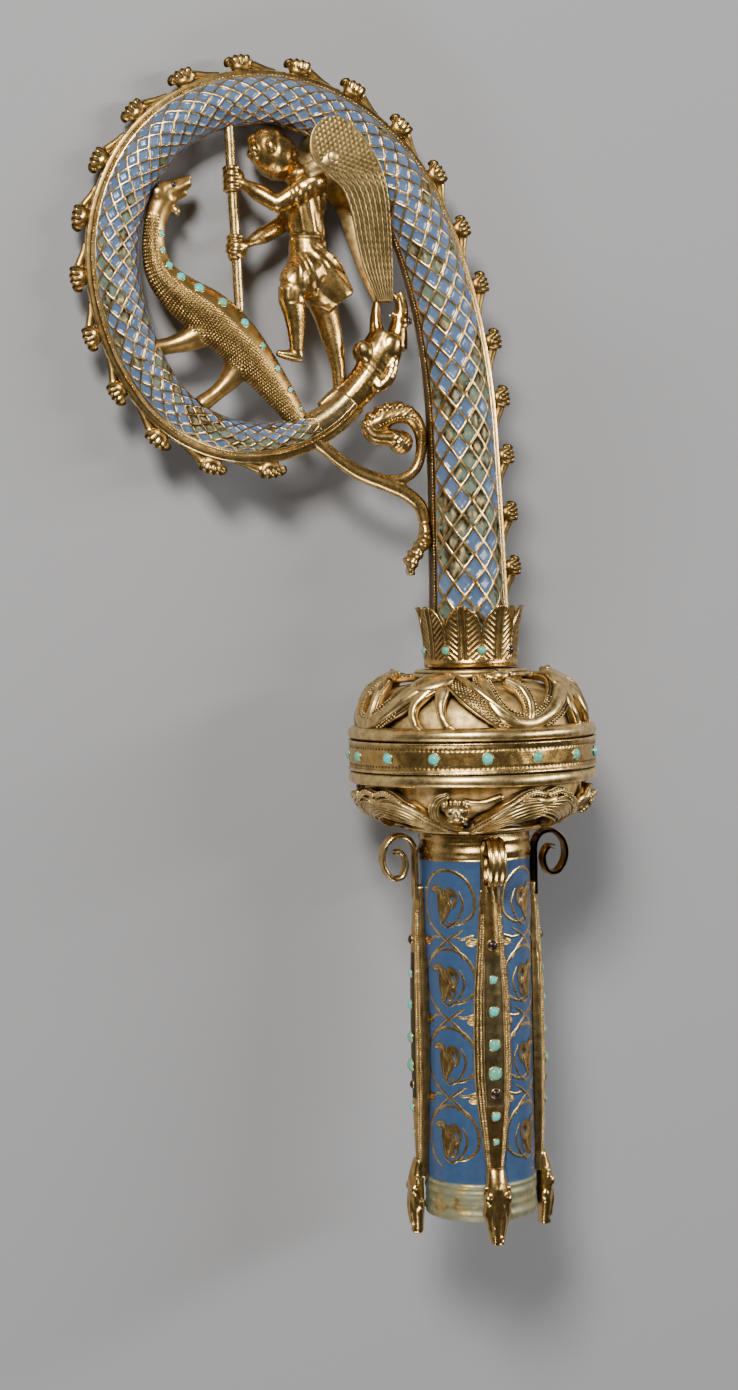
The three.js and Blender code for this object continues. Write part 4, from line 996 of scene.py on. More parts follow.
# %% The wings
WING_EDGES = [
    ((-19.6, 119.8), (-23.5, 119.8)), ((-19.7, 127.0), (-27.0, 127.6)), ((-20.2, 134.0), (-29.3, 134.9)),
    ((-20.8, 140.5), (-31.0, 141.6)), ((-21.6, 146.5), (-33.6, 147.4)), ((-23.2, 152.4), (-37.9, 151.4)),
    ((-25.6, 157.4), (-41.2, 154.8)), ((-28.6, 161.4), (-41.9, 158.6)), ((-32.0, 164.6), (-40.9, 162.2)),
    ((-34.6, 165.7), (-38.2, 165.2)),
]
STAND_OFF = [(119, 1.4), (130, 3.2), (140, 6.0), (148, 8.2), (156, 8.9), (167, 8.9)]
WING_THICK = 1.0


def wing_height(u, v, x, z):
    """Height of the engraving over the plate: u across from the leading edge, v from the tip to the top."""
    edge = min(u, 1 - u)
    border = 0.0 if edge > 0.07 or v < 0.5 else 0.12
    if v > 0.55:
        row = (z + 0.35 * x) / 1.2
        place = (x - 0.35 * z) / 1.35 + 0.5 * (math.floor(row) % 2)
        fx, fz = place % 1 - 0.5, row % 1
        scale = 0.13 * (1 - min(1.0, (2 * abs(fx)) ** 2 * 0.8 + (1 - fz) ** 3))
        return border if border else scale
    quill = abs(((u * 8.0) % 1) - 0.5)
    barbs = 0.05 * math.sin(4.0 * z + 9 * quill)
    return 0.22 * min(1.0, quill * 4) - 0.12 + barbs


def wing(side):
    bm = bmesh.new()
    made = grid(bm, 64, 200)
    leading = [edge[0] for edge in WING_EDGES]
    trailing = [edge[1] for edge in WING_EDGES]

    def place(co):
        front = Vector(spline(leading, co.y))
        back = Vector(spline(trailing, co.y))
        x, z = front.lerp(back, co.x)
        out = look_up(STAND_OFF, z) + WING_THICK + wing_height(co.x, co.y, x, z)
        return Vector((x, side * out, z))

    bend(made, place)
    rim = [e for e in bm.edges if e.is_boundary]
    moved = bmesh.ops.extrude_edge_only(bm, edges=rim)["geom"]
    back_rim = [g for g in moved if isinstance(g, bmesh.types.BMVert)]
    for v in back_rim:
        v.co.y = side * look_up(STAND_OFF, v.co.z)
    bmesh.ops.contextual_create(bm, geom=[g for g in moved if isinstance(g, bmesh.types.BMEdge)])
    bmesh.ops.triangulate(bm, faces=[f for f in bm.faces if len(f.verts) > 4])
    tab = bmesh.new()
    limb(tab, [(-42.2, side * 6.6, 151.6, 2.0, 1.4), (-39.0, side * 8.6, 153.6, 2.2, 1.1), (-35.6, side * 9.4, 155.6, 2.4, 0.9)], sides=12)
    lump(tab, (-36.0, side * 10.0, 155.4), (1.6, 0.7, 1.6))
    part = bpy.data.meshes.new("tab")
    tab.to_mesh(part)
    tab.free()
    bm.from_mesh(part)
    return bm


for side, node in ((-1, "wing_front"), (1, "wing_back")):
    finish_piece(wing(side), node + "_plate", [olive_gilt], [node], reach=3, full=0.1)

# %% [markdown]
# ## The tendril
# A cast stalk leaves the volute, bends to the stem and ends in a knobbly beast's head. A branch curls up
# into a leaf with a frilled edge and a pearled rib, rolled round a ball.

# %% The tendril


def tendril_casting():
    bm = bmesh.new()
    stalk = [(-42.4, 0, 85.4, 2.1), (-38.2, 0, 82.0, 1.7), (-33.6, 0, 78.2, 1.7), (-28.4, 0, 75.0, 1.85), (-22.2, 0, 72.6, 2.0), (-16.8, 0, 70.0, 1.8), (-12.9, 0, 66.6, 1.7), (-11.5, 0, 62.0, 1.6)]
    limb(bm, stalk, sides=14, steps=28, shape=lambda t, a: 1 + 0.07 * math.cos(2 * a))
    branch = [(-24.0, 0, 73.2, 1.5), (-17.6, 0, 73.6, 1.5), (-13.7, 0, 76.4, 1.4), (-12.2, 0, 81.4, 1.5), (-12.5, 0, 86.4, 1.8), (-15.0, 0, 90.0, 2.3), (-19.4, 0, 90.4, 2.5), (-23.8, 0, 88.4, 2.6), (-27.4, 0, 87.4, 1.5)]
    limb(bm, branch, sides=14, steps=32)
    for x, z, r in ((-15.4, 91.6, 1.7), (-18.0, 92.6, 1.8), (-20.7, 92.3, 1.8), (-23.2, 91.3, 1.8), (-25.5, 89.7, 1.7), (-27.2, 87.9, 1.4)):
        lump(bm, (x, 0, z), (r, 2.5, r * 0.85), tip=25)
    limb(bm, [(-26.8, 0, 87.2, 1.7, 2.2), (-25.0, 0, 84.8, 2.0, 2.6), (-21.6, 0, 84.4, 2.2, 2.8), (-18.6, 0, 84.2, 2.6, 3.0)], sides=12)
    lump(bm, (-17.6, 0, 83.2), (3.2, 3.3, 3.2), 0, 3)
    for side in (-1, 1):
        limb(bm, [(-11.9, side * 0.8, 61.5, 1.3), (-11.7, side * 1.5, 58.4, 1.5), (-13.6, side * 1.7, 55.0, 1.6), (-15.6, side * 1.0, 50.6, 1.3), (-15.4, side * 0.5, 48.6, 1.0)], sides=10)
        lump(bm, (-12.0, side * 1.9, 57.0), (2.0, 1.1, 1.5), tip=30)
        lump(bm, (-14.7, side * 1.7, 53.6), (1.9, 1.1, 1.3), tip=30)
        lump(bm, (-16.3, side * 0.8, 52.2), (1.2, 1.0, 1.6))
    return cast(bm, cell=0.32, smooth=2)


def tendril_frill(co):
    frill = fade(co.z, 89.0, 90.4) * fade(-co.x, 13.5, 15) * 0.14 * math.sin(3.1 * (co.x - co.z))
    ball = (math.hypot(co.x + 17.6, co.z - 83.2) < 3.1) * 0.14 * math.sin(3.4 * co.x) * math.sin(3.4 * co.z)
    knob = fade(60.5 - co.z, 0, 1.5) * 0.22 * math.sin(2.1 * co.z + 1.2 * co.x)
    return frill + ball + knob


tendril = tendril_casting()
emboss(tendril, tendril_frill)
rib = bmesh.new()
for side in (-1, 1):
    for k in range(22):
        x, _, z, r = spline([(-12.4, 0, 83.0, 1.6), (-12.8, 0, 87.0, 1.9), (-15.4, 0, 89.3, 2.3), (-19.4, 0, 89.2, 2.5), (-23.6, 0, 87.4, 2.6)], k / 21)
        bmesh.ops.create_icosphere(rib, subdivisions=1, radius=0.36, matrix=Matrix.Translation((x, side * (r + 0.05), z)))
part = bpy.data.meshes.new("rib")
rib.to_mesh(part)
rib.free()
tendril.from_mesh(part)
finish_piece(tendril, "tendril_casting", [worn_gilt], ["tendril"], full=0.15)

# %% [markdown]
# ## The knop
# The knop is two bowls of openwork over a dark shell, with a girdle between them. The relief was cast flat,
# pierced and raised to the bowl. It is drawn here the same way: straps on a flat sheet, counted in degrees
# round the knop and in millimetres up the bowl, then laid on the bowl. Rings are profiles that are spun.

# %% Rings, bowls and straps
UPPER_BOWL = [
    (0, 31.8, 6.6), (5.4, 31.4, 12), (9.7, 29.7, 16), (13.3, 27.6, 19.1), (17.2, 24.4, 21.4), (20.7, 21, 22.4), (28, 13.8, 22.9),
]
LOWER_BOWL = [(-2, 32.1, -4.4), (0, 32, -6.4), (4, 31.6, -10.2), (8.8, 28.6, -13.8), (15.6, 22.8, -17.2), (22, 16.6, -18.9)]
KNOP_UNITS = 4
SINK = 1.5
UNDER = 0.9


def turned(bm, profile, steps=120, closed=True):
    """Spins a profile of (radius, height) round the staff's axis."""
    verts = [bm.verts.new((r, 0, z)) for r, z in profile]
    edges = [bm.edges.new(pair) for pair in zip(verts, verts[1:] + (verts[:1] if closed else []))]
    bmesh.ops.spin(
        bm, geom=verts + edges, cent=(0, 0, 0), axis=(0, 0, 1), dvec=(0, 0, 0), angle=2 * math.pi, steps=steps, use_merge=True
    )


def rounded_ring(radius, height, half_wide, half_high, count=12):
    """An oval profile."""
    turns = [2 * math.pi * i / count for i in range(count)]
    return [(radius + half_wide * math.cos(a), height + half_high * math.sin(a)) for a in turns]


def bowl_frame(bowl, angle, distance, high=0.0):
    """A frame on a bowl: x runs round it, y up or down its side, z out of it."""
    along, radii, heights = np.array(bowl).T
    distance = min(max(distance, bowl[0][0] + 0.1), bowl[-1][0] - 0.1)
    reach = [max(distance - 0.9, along[0]), distance, min(distance + 0.9, along[-1])]
    r0, radius, r1 = np.interp(reach, along, radii)
    z0, height, z1 = np.interp(reach, along, heights)
    run, climb = r1 - r0, z1 - z0
    a = math.radians(angle)
    outward = Vector((math.sin(a), -math.cos(a), 0))
    around = Vector((math.cos(a), math.sin(a), 0))
    up_side = Vector((float(run) * outward.x, float(run) * outward.y, float(climb))).normalized()
    out = around.cross(up_side) if bowl[0][2] > 0 else up_side.cross(around)
    place = round_point(angle, float(radius), float(height)) + high * out
    return Matrix.Translation(place) @ Matrix((around, up_side, out)).transposed().to_4x4()


def strap_frame(bowl, stations, t, aside=0.0, high=0.0):
    """A frame on a strap: x across it, y along it. aside is a share of its half width."""
    angle, distance, wide, _ = spline(stations, t)
    radius = bowl_frame(bowl, angle, distance).translation.xy.length
    a1, d1, *_ = spline(stations, min(t + 0.01, 1))
    a0, d0, *_ = spline(stations, max(t - 0.01, 0))
    way = Vector((math.radians(a1 - a0) * radius, d1 - d0)).normalized()
    off = aside * wide
    frame_there = bowl_frame(bowl, angle + math.degrees(-way.y * off / radius), distance + way.x * off, high)
    return frame_there @ Matrix.Rotation(math.atan2(way.y, way.x) - math.pi / 2, 4, "Z")


def half_and_half(half):
    """A closed section from its left half, as (share of half width, share of ridge, drop, painted shade and soiling).
    """
    return [(-u, *rest) for u, *rest in half] + [tuple(row) for row in reversed(half[:-1])] + [(-half[0][0], *half[0][1:])]


# The last number of a section point darkens it: painted shade on the skirt under the strap and in its grooves, with
# soiling in the grooves.
SMOOTH_STRAP = half_and_half([
    (0.8, 0, UNDER, 1), (1, 0.1, 0, 0.7), (0.93, 0.5, 0, 0.1), (0.75, 0.8, 0, 0), (0.45, 0.95, 0, 0), (0, 1, 0, 0),
])
BEADED_STRAP = half_and_half([
    (0.85, 0, UNDER, 1), (1, 0.25, 0, 0.8), (0.97, 0.55, 0, 0), (0.92, 0.3, 0, 1), (0.8, 0.3, 0, 1), (0.75, 0.5, 0, 0.2),
    (0.7, 0.3, 0, 1), (0.58, 0.3, 0, 1), (0.5, 0.74, 0, 0), (0.32, 0.95, 0, 0), (0, 1, 0, 0),
])
GROOVED_STRAP = half_and_half([
    (0.85, 0, UNDER, 1), (1, 0.4, 0, 0.8), (0.9, 0.85, 0, 0), (0.72, 0.9, 0, 0), (0.6, 0.4, 0, 1), (0.48, 0.9, 0, 0),
    (0.25, 0.98, 0, 0), (0.13, 0.4, 0, 1), (0, 0.9, 0, 0),
])
CHASED_STRAP = half_and_half([
    (0.85, 0, UNDER, 1), (1, 0.4, 0, 0.8), (0.95, 0.85, 0, 0), (0.86, 0.85, 0, 0), (0.8, 0.55, 0, 1), (0.5, 0.72, 0, 0.3), (0, 0.8, 0, 0.2),
])


def strap(bm, bowl, stations, section, steps=40, chased=None):
    """A strap of closed section along stations of (angle, distance, half width, ridge height)."""
    flow = bm.verts.layers.float_vector["flow"]
    scaly = bm.verts.layers.float["scaly"]
    soil_and_shade_marks = bm.verts.layers.float["soil_and_shade_marks"]
    count = len(section)
    made = grid(bm, count - 1, steps)
    for v in made:
        t = v.co.y
        # Each vertex takes its section point's painted shade and soiling.
        aside, share, drop, v[soil_and_shade_marks] = section[round(v.co.x * (count - 1))]
        *_, wide, high = spline(stations, t)
        v.co = strap_frame(bowl, stations, t, aside, share * high - drop - SINK).translation
        length = 30.0
        v[flow] = (t * length, aside * wide, 0)
        v[scaly] = chased(aside, t) if chased and not drop else 0.0
    join_doubles(bm, 0.002)
    bmesh.ops.holes_fill(bm, edges=[e for e in bm.edges if e.is_boundary], sides=0)


def strap_beads(bm, bowl, stations, asides, share, radius=0.33, pitch=0.8, first=0.0, last=1.0):
    """Rows of small beads along a strap."""
    for aside in asides:
        before, walked = strap_frame(bowl, stations, first, aside).translation, 0.0
        for i in range(1, 151):
            t = first + (last - first) * i / 150
            here = strap_frame(bowl, stations, t, aside, 0).translation
            walked += (here - before).length
            before = here
            if walked >= pitch:
                walked = 0.0
                high = spline(stations, t)[3]
                spot = strap_frame(bowl, stations, t, aside, share * high - SINK)
                bmesh.ops.create_icosphere(bm, subdivisions=1, radius=radius, matrix=spot)


def lump_on(bm, place, centre, half, tip=0, fine=2):
    """An egg on a frame: centre and half sizes in the frame's own x, y and z, tipped round its z."""
    spot = place @ Matrix.Translation(centre) @ Matrix.Rotation(math.radians(tip), 4, "Z") @ Matrix.Diagonal((*half, 1))
    bmesh.ops.create_icosphere(bm, subdivisions=fine, radius=1, matrix=spot)


def relief_bmesh():
    bm = bmesh.new()
    bm.verts.layers.float_vector.new("flow")
    bm.verts.layers.float.new("scaly")
    bm.verts.layers.float.new("soil_and_shade_marks")
    return bm


knop_gilt = scaled("relief of the knop", pitch=0.85, depth=0.2, whole=0.4, dull=0.27)
print("straps have", len(BEADED_STRAP), "points round them")

# %% [markdown]
# Four dragons chase each other round the upper half. Each has a smooth back with beaded borders, a chased
# wing, two clawed legs that stand on the rim, and a neck that rises inside the loop of its own tail.

# %% The upper half's dragons
BODY = [(-66, 27.8, 1.6, 1.2), (-66, 15, 2.6, 1.5), (-58, 5.6, 3.0, 1.7), (-44, 3.4, 3.1, 1.7), (-31, 6.5, 3.3, 1.8), (-14, 14, 4.2, 2.0), (4, 22, 4.2, 1.7)]
WING = [(0, 20.5, 2.6, 1.5), (18, 10.5, 3.0, 1.5), (36, 2.4, 2.6, 1.4)]
WING_EDGE = [(4, 21.5, 0.9, 1.9), (22, 12.0, 1.1, 1.9), (40, 3.2, 0.8, 1.7)]
NECK = [(-45, 3, 1.9, 1.5), (-43, 9, 1.8, 1.6), (-46, 14.5, 2.0, 1.8), (-51, 17.5, 1.8, 1.6)]
LEGS = (
    [(-8, 14.5, 2.5, 1.7), (-13.5, 8.5, 1.4, 1.5), (-11.5, 3.6, 1.1, 1.4), (-9, 1.2, 1.3, 1.3)],
    [(1, 14, 2.3, 1.7), (1, 8.4, 1.35, 1.5), (4.0, 3.8, 1.1, 1.4), (8, 1.2, 1.3, 1.3)],
)


def claws(bm, bowl, foot, angle, toward):
    for k in range(4):
        tip = [(angle - 0.5 * toward, 3.2, 0.6, 1.5), (angle + toward * (1.2 * k - 1.2), 1.9, 0.5, 1.45), (angle + toward * (1.6 * k - 1.2), 0.3, 0.42, 1.25)]
        strap(bm, bowl, tip, SMOOTH_STRAP, steps=8)


def dragon_head_on(bm, eyes, place, way=1):
    """A beast's head in relief: skull, snout, lips, ears and a round eye."""
    lump_on(bm, place, (0.3 * way, 0.2, 0.2), (2.5, 2.0, 1.5))
    lump_on(bm, place, (-2.3 * way, -0.2, 0.1), (2.0, 1.15, 1.1), 12 * way)
    lump_on(bm, place, (-2.4 * way, -1.1, -0.1), (1.5, 0.7, 0.9), -14 * way)
    lump_on(bm, place, (-3.7 * way, 0.2, 0.2), (0.7, 0.75, 0.8))
    lump_on(bm, place, (-0.4 * way, 0.9, 1.1), (1.1, 0.75, 0.6))
    for k in range(3):
        lump_on(bm, place, ((2.0 + 0.7 * k) * way, 1.3 - 1.1 * k, 0.6), (1.1, 0.5, 0.8), 20 * way)
    lump_on(eyes, place, (-0.6 * way, 0.75, 1.5), (0.55, 0.55, 0.45))


upper = relief_bmesh()
upper_eyes = bmesh.new()
for unit in range(KNOP_UNITS):
    start = -30.5 + unit * 360 / KNOP_UNITS

    def placed(stations):
        return [(angle + start, *rest) for angle, *rest in stations]

    strap(upper, UPPER_BOWL, placed(BODY), BEADED_STRAP, steps=72)
    strap_beads(upper, UPPER_BOWL, placed(BODY), (-0.88, -0.64, 0.64, 0.88), 0.52, last=0.72)
    strap(upper, UPPER_BOWL, placed(WING), CHASED_STRAP, steps=36, chased=lambda aside, t: 1.0 if abs(aside) < 0.8 else 0.0)
    strap(upper, UPPER_BOWL, placed(WING_EDGE), SMOOTH_STRAP, steps=30)
    strap(upper, UPPER_BOWL, placed(NECK), BEADED_STRAP, steps=30)
    strap_beads(upper, UPPER_BOWL, placed(NECK), (-0.86, 0.86), 0.55, last=0.9)
    for leg, (foot, toward) in zip(LEGS, ((-10, 1), (6.6, 1))):
        strap(upper, UPPER_BOWL, placed(leg), SMOOTH_STRAP, steps=20)
        claws(upper, UPPER_BOWL, 0, start + foot, toward)
    dragon_head_on(upper, upper_eyes, bowl_frame(UPPER_BOWL, start - 54, 19.6, -0.3))
    haunch = bowl_frame(UPPER_BOWL, start - 7, 16.5, -0.6)
    lump_on(upper, haunch, (0, 0, 0), (6.0, 3.6, 1.6), 24, 3)
turned(upper, [(30.2, 5.8), (32.3, 5.8), (32.75, 6.3), (32.9, 7.0), (32.8, 7.8), (32.4, 8.5), (31.6, 8.9), (31.2, 9.2), (30.2, 9.2)])
turned(upper, [(11.9, 21.4), (15.4, 21.3), (15.8, 21.8), (15.4, 22.4), (14.8, 22.6), (14.9, 23.1), (14.4, 23.5), (11.9, 23.5)])
finish_piece(upper, "knop_upper_relief", [knop_gilt], ["knop_upper"], reach=4, full=0.16)
finish_piece(upper_eyes, "knop_upper_eyes", [garnet])

# %% [markdown]
# The lower half has four lion masks between pairs of drop-shaped wings. A grooved ribbon curls round one
# side of each mask, and a plain one runs from it to the next wing.

# %% The lower half's masks and wings
DROP_WING = [(7, 20.6, 0.8, 1.2), (12, 15.4, 2.4, 1.5), (22, 10.2, 3.6, 1.8), (34, 6.4, 4.1, 1.9), (43, 5.6, 3.2, 1.7), (46, 6.0, 1.0, 1.2)]
WING_RIM = [(5, 20.0, 0.8, 1.9), (13, 12.4, 1.0, 2.1), (24, 5.6, 1.1, 2.2), (36, 1.4, 1.1, 2.1), (44, 2.0, 0.9, 1.8)]
CURL = [(-3.5, 1.4, 0.9, 1.7), (-9, 3.0, 1.3, 1.8), (-12, 8.0, 1.4, 1.8), (-9, 13.6, 1.3, 1.8), (-1, 17.6, 1.0, 1.5)]
LINK = [(3, 3.2, 1.0, 1.6), (12, 3.6, 1.0, 1.6), (22, 2.0, 0.9, 1.6)]


def lion_mask(bm, eyes, place):
    lump_on(bm, place, (0, 0, -0.6), (3.3, 3.5, 1.9), fine=3)
    lump_on(bm, place, (0, 1.4, 0.7), (1.9, 1.5, 1.2))
    lump_on(bm, place, (0, 0.2, 0.9), (0.55, 1.9, 0.9))
    for side in (-1, 1):
        lump_on(bm, place, (side * 1.5, 2.0, 0.6), (1.2, 1.0, 1.0))
        lump_on(bm, place, (side * 1.6, -1.5, 0.7), (1.3, 0.5, 0.8), side * 12)
        lump_on(bm, place, (side * 2.9, -2.7, 0.0), (0.9, 0.9, 0.9))
        lump_on(eyes, place, (side * 1.5, -0.5, 1.0), (0.6, 0.5, 0.45))
    for k in range(5):
        lump_on(bm, place, (1.1 * (k - 2), -3.3 - 0.12 * (2 - abs(k - 2)), 0.1), (0.5, 0.9, 0.8), fine=1)


def drop_feathers(aside, t):
    return 0.35 if abs(aside) < 0.8 and t > 0.15 else 0.0


lower = relief_bmesh()
lower_eyes = bmesh.new()
for unit in range(KNOP_UNITS):
    start = -22 + unit * 360 / KNOP_UNITS
    for side in (-1, 1):

        def placed(stations):
            return [(start + side * angle, *rest) for angle, *rest in stations]

        strap(lower, LOWER_BOWL, placed(DROP_WING), SMOOTH_STRAP, steps=36)
        for k in range(7):
            quill = [(a + 1.4 * (k - 3) * (1 - t), d + wide * (0.26 * k - 0.8), 0.34, high + 0.3) for t, (a, d, wide, high) in zip((0.2, 0.1, 0, 0, 0), DROP_WING[1:])]
            strap(lower, LOWER_BOWL, placed(quill), SMOOTH_STRAP, steps=24)
        strap(lower, LOWER_BOWL, placed(WING_RIM), BEADED_STRAP, steps=36)
        strap_beads(lower, LOWER_BOWL, placed(WING_RIM), (-0.5, 0.5), 0.85, radius=0.32)

    def placed(stations):
        return [(start + angle, *rest) for angle, *rest in stations]

    strap(lower, LOWER_BOWL, placed(CURL), GROOVED_STRAP, steps=36)
    strap(lower, LOWER_BOWL, placed(LINK), SMOOTH_STRAP, steps=16)
    lion_mask(lower, lower_eyes, bowl_frame(LOWER_BOWL, start, 6.6, -0.2))
turned(lower, [(30.2, -5.8), (32.2, -5.8), (32.7, -5.4), (32.9, -4.6), (32.8, -3.6), (32.4, -2.9), (32.2, -2.7), (30.2, -2.7)])
turned(lower, [(15.2, -17.6), (17.6, -17.2), (18.3, -17.4), (18.6, -18.0), (18.3, -18.6), (17.4, -18.9), (15.2, -19.0)])
finish_piece(lower, "knop_lower_relief", [knop_gilt], ["knop_lower"], reach=4, full=0.16)
finish_piece(lower_eyes, "knop_lower_eyes", [garnet])

# %% [markdown]
# Behind the openwork is a plain dark shell. The girdle is a flat band with a small rim on each side and two
# lines of punched dots, and its turquoises sit in thin collars.

# %% The shell and the girdle
LINER = [(12.4, 20.0), (20.6, 18.8), (25.6, 15.4), (28.4, 9.5), (28.4, -9.0), (24.6, -13.0), (15.6, -15.8)]
shell = bmesh.new()
outer = [tuple(spline(LINER, i / 30)) for i in range(31)]
inner = [(r - 0.8, z - (0.8 if z > 14 else -0.8 if z < -11 else 0)) for r, z in reversed(outer)]
turned(shell, outer + inner, 96)
finish_piece(shell, "knop_shell", [liner_gilt], ["knop_liner"])

KNOP_RADIUS = 32.9
GIRDLE_TOP, GIRDLE_BOTTOM, GIRDLE_INNER = 5.4, -2.4, 30.6
GIRDLE_PROFILE = [
    (-2.4, 0.0), (-2.0, 0.0), (-1.7, -0.1), (-1.5, -0.34), (-0.9, -0.34), (5.9 - 1.5, -0.34), (4.7, -0.1), (5.0, 0.0), (5.4, 0.0),
]
PUNCH_ROWS = (-0.75, 3.75)
PUNCHES = 168


def girdle_surface(co):
    angle, z = 360 * co.x, GIRDLE_BOTTOM + (GIRDLE_TOP - GIRDLE_BOTTOM) * co.y
    high = look_up(GIRDLE_PROFILE, z)
    step = abs((co.x * PUNCHES) % 1 - 0.5) * 2
    for row in PUNCH_ROWS:
        high -= 0.28 * max(0.0, 1 - (abs(z - row) / 0.36) ** 2) * max(0.0, 1 - (step / 0.75) ** 2)
    high += 0.05 * math.sin(0.7 * angle) * math.sin(0.9 * z + 0.3 * angle)
    return round_point(angle, KNOP_RADIUS + high, z)


band = bmesh.new()
bend(grid(band, 4 * PUNCHES, 26), girdle_surface)
inside = bmesh.ops.extrude_edge_only(band, edges=[e for e in band.edges if e.is_boundary and abs(e.verts[0].co.z - e.verts[1].co.z) < 0.01])["geom"]
for v in [g for g in inside if isinstance(g, bmesh.types.BMVert)]:
    v.co.xy *= GIRDLE_INNER / v.co.xy.length
join_doubles(band, 0.005)
rims = [e for e in band.edges if e.is_boundary]
bmesh.ops.bridge_loops(band, edges=rims)
finish_piece(band, "girdle_band", [worn_gilt], ["knop_girdle"], reach=4, full=0.14)

# %% [markdown]
# ## The coronet
# A collar of eight leaves holds the foot of the crook. It was cut from sheet, chased from the front and bent
# round, so it is drawn as one flat strip with the leaves' tips and veins as height, and then bent round.

# %% The coronet
CORONET = {"base": 24, "notch": 32, "tip": 40, "inner": 11.5, "wall": 1.0, "leaves": 8}


def leaf_share(turn_share):
    """How near a place round the coronet is to a leaf's middle: 0 in a notch, 1 at a tip."""
    return abs(math.sin(math.pi * CORONET["leaves"] * turn_share))


def coronet_surface(co):
    near = leaf_share(co.x)
    top = CORONET["notch"] + (CORONET["tip"] - CORONET["notch"]) * math.sqrt(near)
    z = CORONET["base"] + (top - CORONET["base"]) * co.y
    share = (z - CORONET["base"]) / (CORONET["tip"] - CORONET["base"])
    flare = 1.9 * share**2.2
    off = ((co.x * CORONET["leaves"]) % 1 - 0.5) * 2 * math.pi * CORONET["inner"] / CORONET["leaves"]
    under_rim = (top - z) if co.y > 0.5 else 9.0
    high = 0.3 * math.exp(-((under_rim / 0.45) ** 2)) if co.y > 0.55 else 0.0
    rib = math.exp(-(((abs(off) - 0.75) / 0.3) ** 2)) - 0.7 * math.exp(-((off / 0.34) ** 2))
    veins = math.sin(4.2 * (z - 0.95 * abs(off))) * (abs(off) > 1.25) * (under_rim > 0.7)
    band = 1.0 if z > CORONET["base"] + 2.2 else 0.0
    high += band * (0.34 * rib + 0.16 * veins)
    high += 0.25 * math.exp(-(((z - CORONET["base"] - 1.1) / 0.7) ** 2))
    radius = CORONET["inner"] + CORONET["wall"] - 0.35 + flare + high
    return round_point(360 * co.x, radius, z)


coronet = bmesh.new()
bend(grid(coronet, 320, 56), coronet_surface)
join_doubles(coronet, 0.004)
back = bmesh.ops.extrude_edge_only(coronet, edges=[e for e in coronet.edges if e.is_boundary])["geom"]
for v in [g for g in back if isinstance(g, bmesh.types.BMVert)]:
    v.co.xy *= 1 - 0.85 / v.co.xy.length
back_rims = [e for e in coronet.edges if e.is_boundary]
bmesh.ops.bridge_loops(coronet, edges=back_rims)
finish_piece(coronet, "coronet_leaves", [gilt], ["coronet"], reach=4, full=0.14)

# %% [markdown]
# ## The socket
# The staff fits in a copper tube with gilt mouldings at both ends and blue enamel between. The vine in the
# enamel is metal left standing when the cells were dug out, so it lies flush with the glass. It is drawn on
# a flat sheet, in mm round the tube and up it, and laid on the tube with hardly any height.

# %% The tube and its mouldings
SOCKET_TOP, SOCKET_RADIUS, SOCKET_BORE = -19.4, 14.6, 13
ENAMEL_TOP, ENAMEL_FOOT = -26.4, -110.6


def on_socket(around, z, high=0.0):
    """A point on the tube: around in mm from the front."""
    return round_point(math.degrees(around / SOCKET_RADIUS), SOCKET_RADIUS + high, z)


def moulding(z):
    """Height of the mouldings over the tube."""
    head = 0.42 * math.exp(-(((z + 24.2) / 1.2) ** 2)) + 0.22 * math.exp(-(((z + 21.2) / 0.6) ** 2)) + 0.18 * math.exp(-(((z + 26.3) / 0.3) ** 2))
    foot = 0.3 * math.exp(-(((z + 111.4) / 0.5) ** 2)) + 0.34 * math.exp(-(((z + 113.4) / 0.8) ** 2)) + 0.42 * math.exp(-(((z + 118.9) / 1.0) ** 2))
    return head + foot + 0.16 * math.exp(-(((z + 116.2) / 0.7) ** 2))


tube = bmesh.new()
for first, last, rows in ((SOCKET_TOP, ENAMEL_TOP, 40), (ENAMEL_TOP, ENAMEL_FOOT, 60), (ENAMEL_FOOT, SOCKET_BOTTOM, 56)):
    made = grid(tube, 120, rows)
    for face in {f for v in made for f in v.link_faces}:
        face.material_index = 0 if last == ENAMEL_TOP else 1 if first == ENAMEL_TOP else 2
    bend(made, lambda co: round_point(360 * co.x, SOCKET_RADIUS + moulding(first + (last - first) * co.y), first + (last - first) * co.y))
wall = [(SOCKET_RADIUS + moulding(SOCKET_TOP), SOCKET_TOP), (SOCKET_BORE + 0.4, SOCKET_TOP), (SOCKET_BORE, SOCKET_TOP - 0.4), (SOCKET_BORE, SOCKET_BOTTOM + 0.4), (SOCKET_BORE + 0.4, SOCKET_BOTTOM), (SOCKET_RADIUS + moulding(SOCKET_BOTTOM), SOCKET_BOTTOM)]
turned(tube, wall, 120, closed=False)
join_doubles(tube, 0.02)
band_green = gilded("corroded band of the socket", whole=0.4, bright=(0.5, 0.36, 0.13), dull=0.42, corroded=0.95)
finish_piece(tube, "socket_tube", [worn_gilt, socket_enamel, band_green], ["socket"])

# %% [markdown]
# Each of the four fields between the lizards has a vine of four roundels. A stem circles each roundel, turns
# inward and ends in a palmette of engraved lobes; short stems with small leaves tie roundel to roundel.

# %% The vine
FIELDS = 4
ROUNDEL_PITCH = 20.6
ROUNDEL_TOP = -37.0
ROUNDEL_RADIUS = 8.4


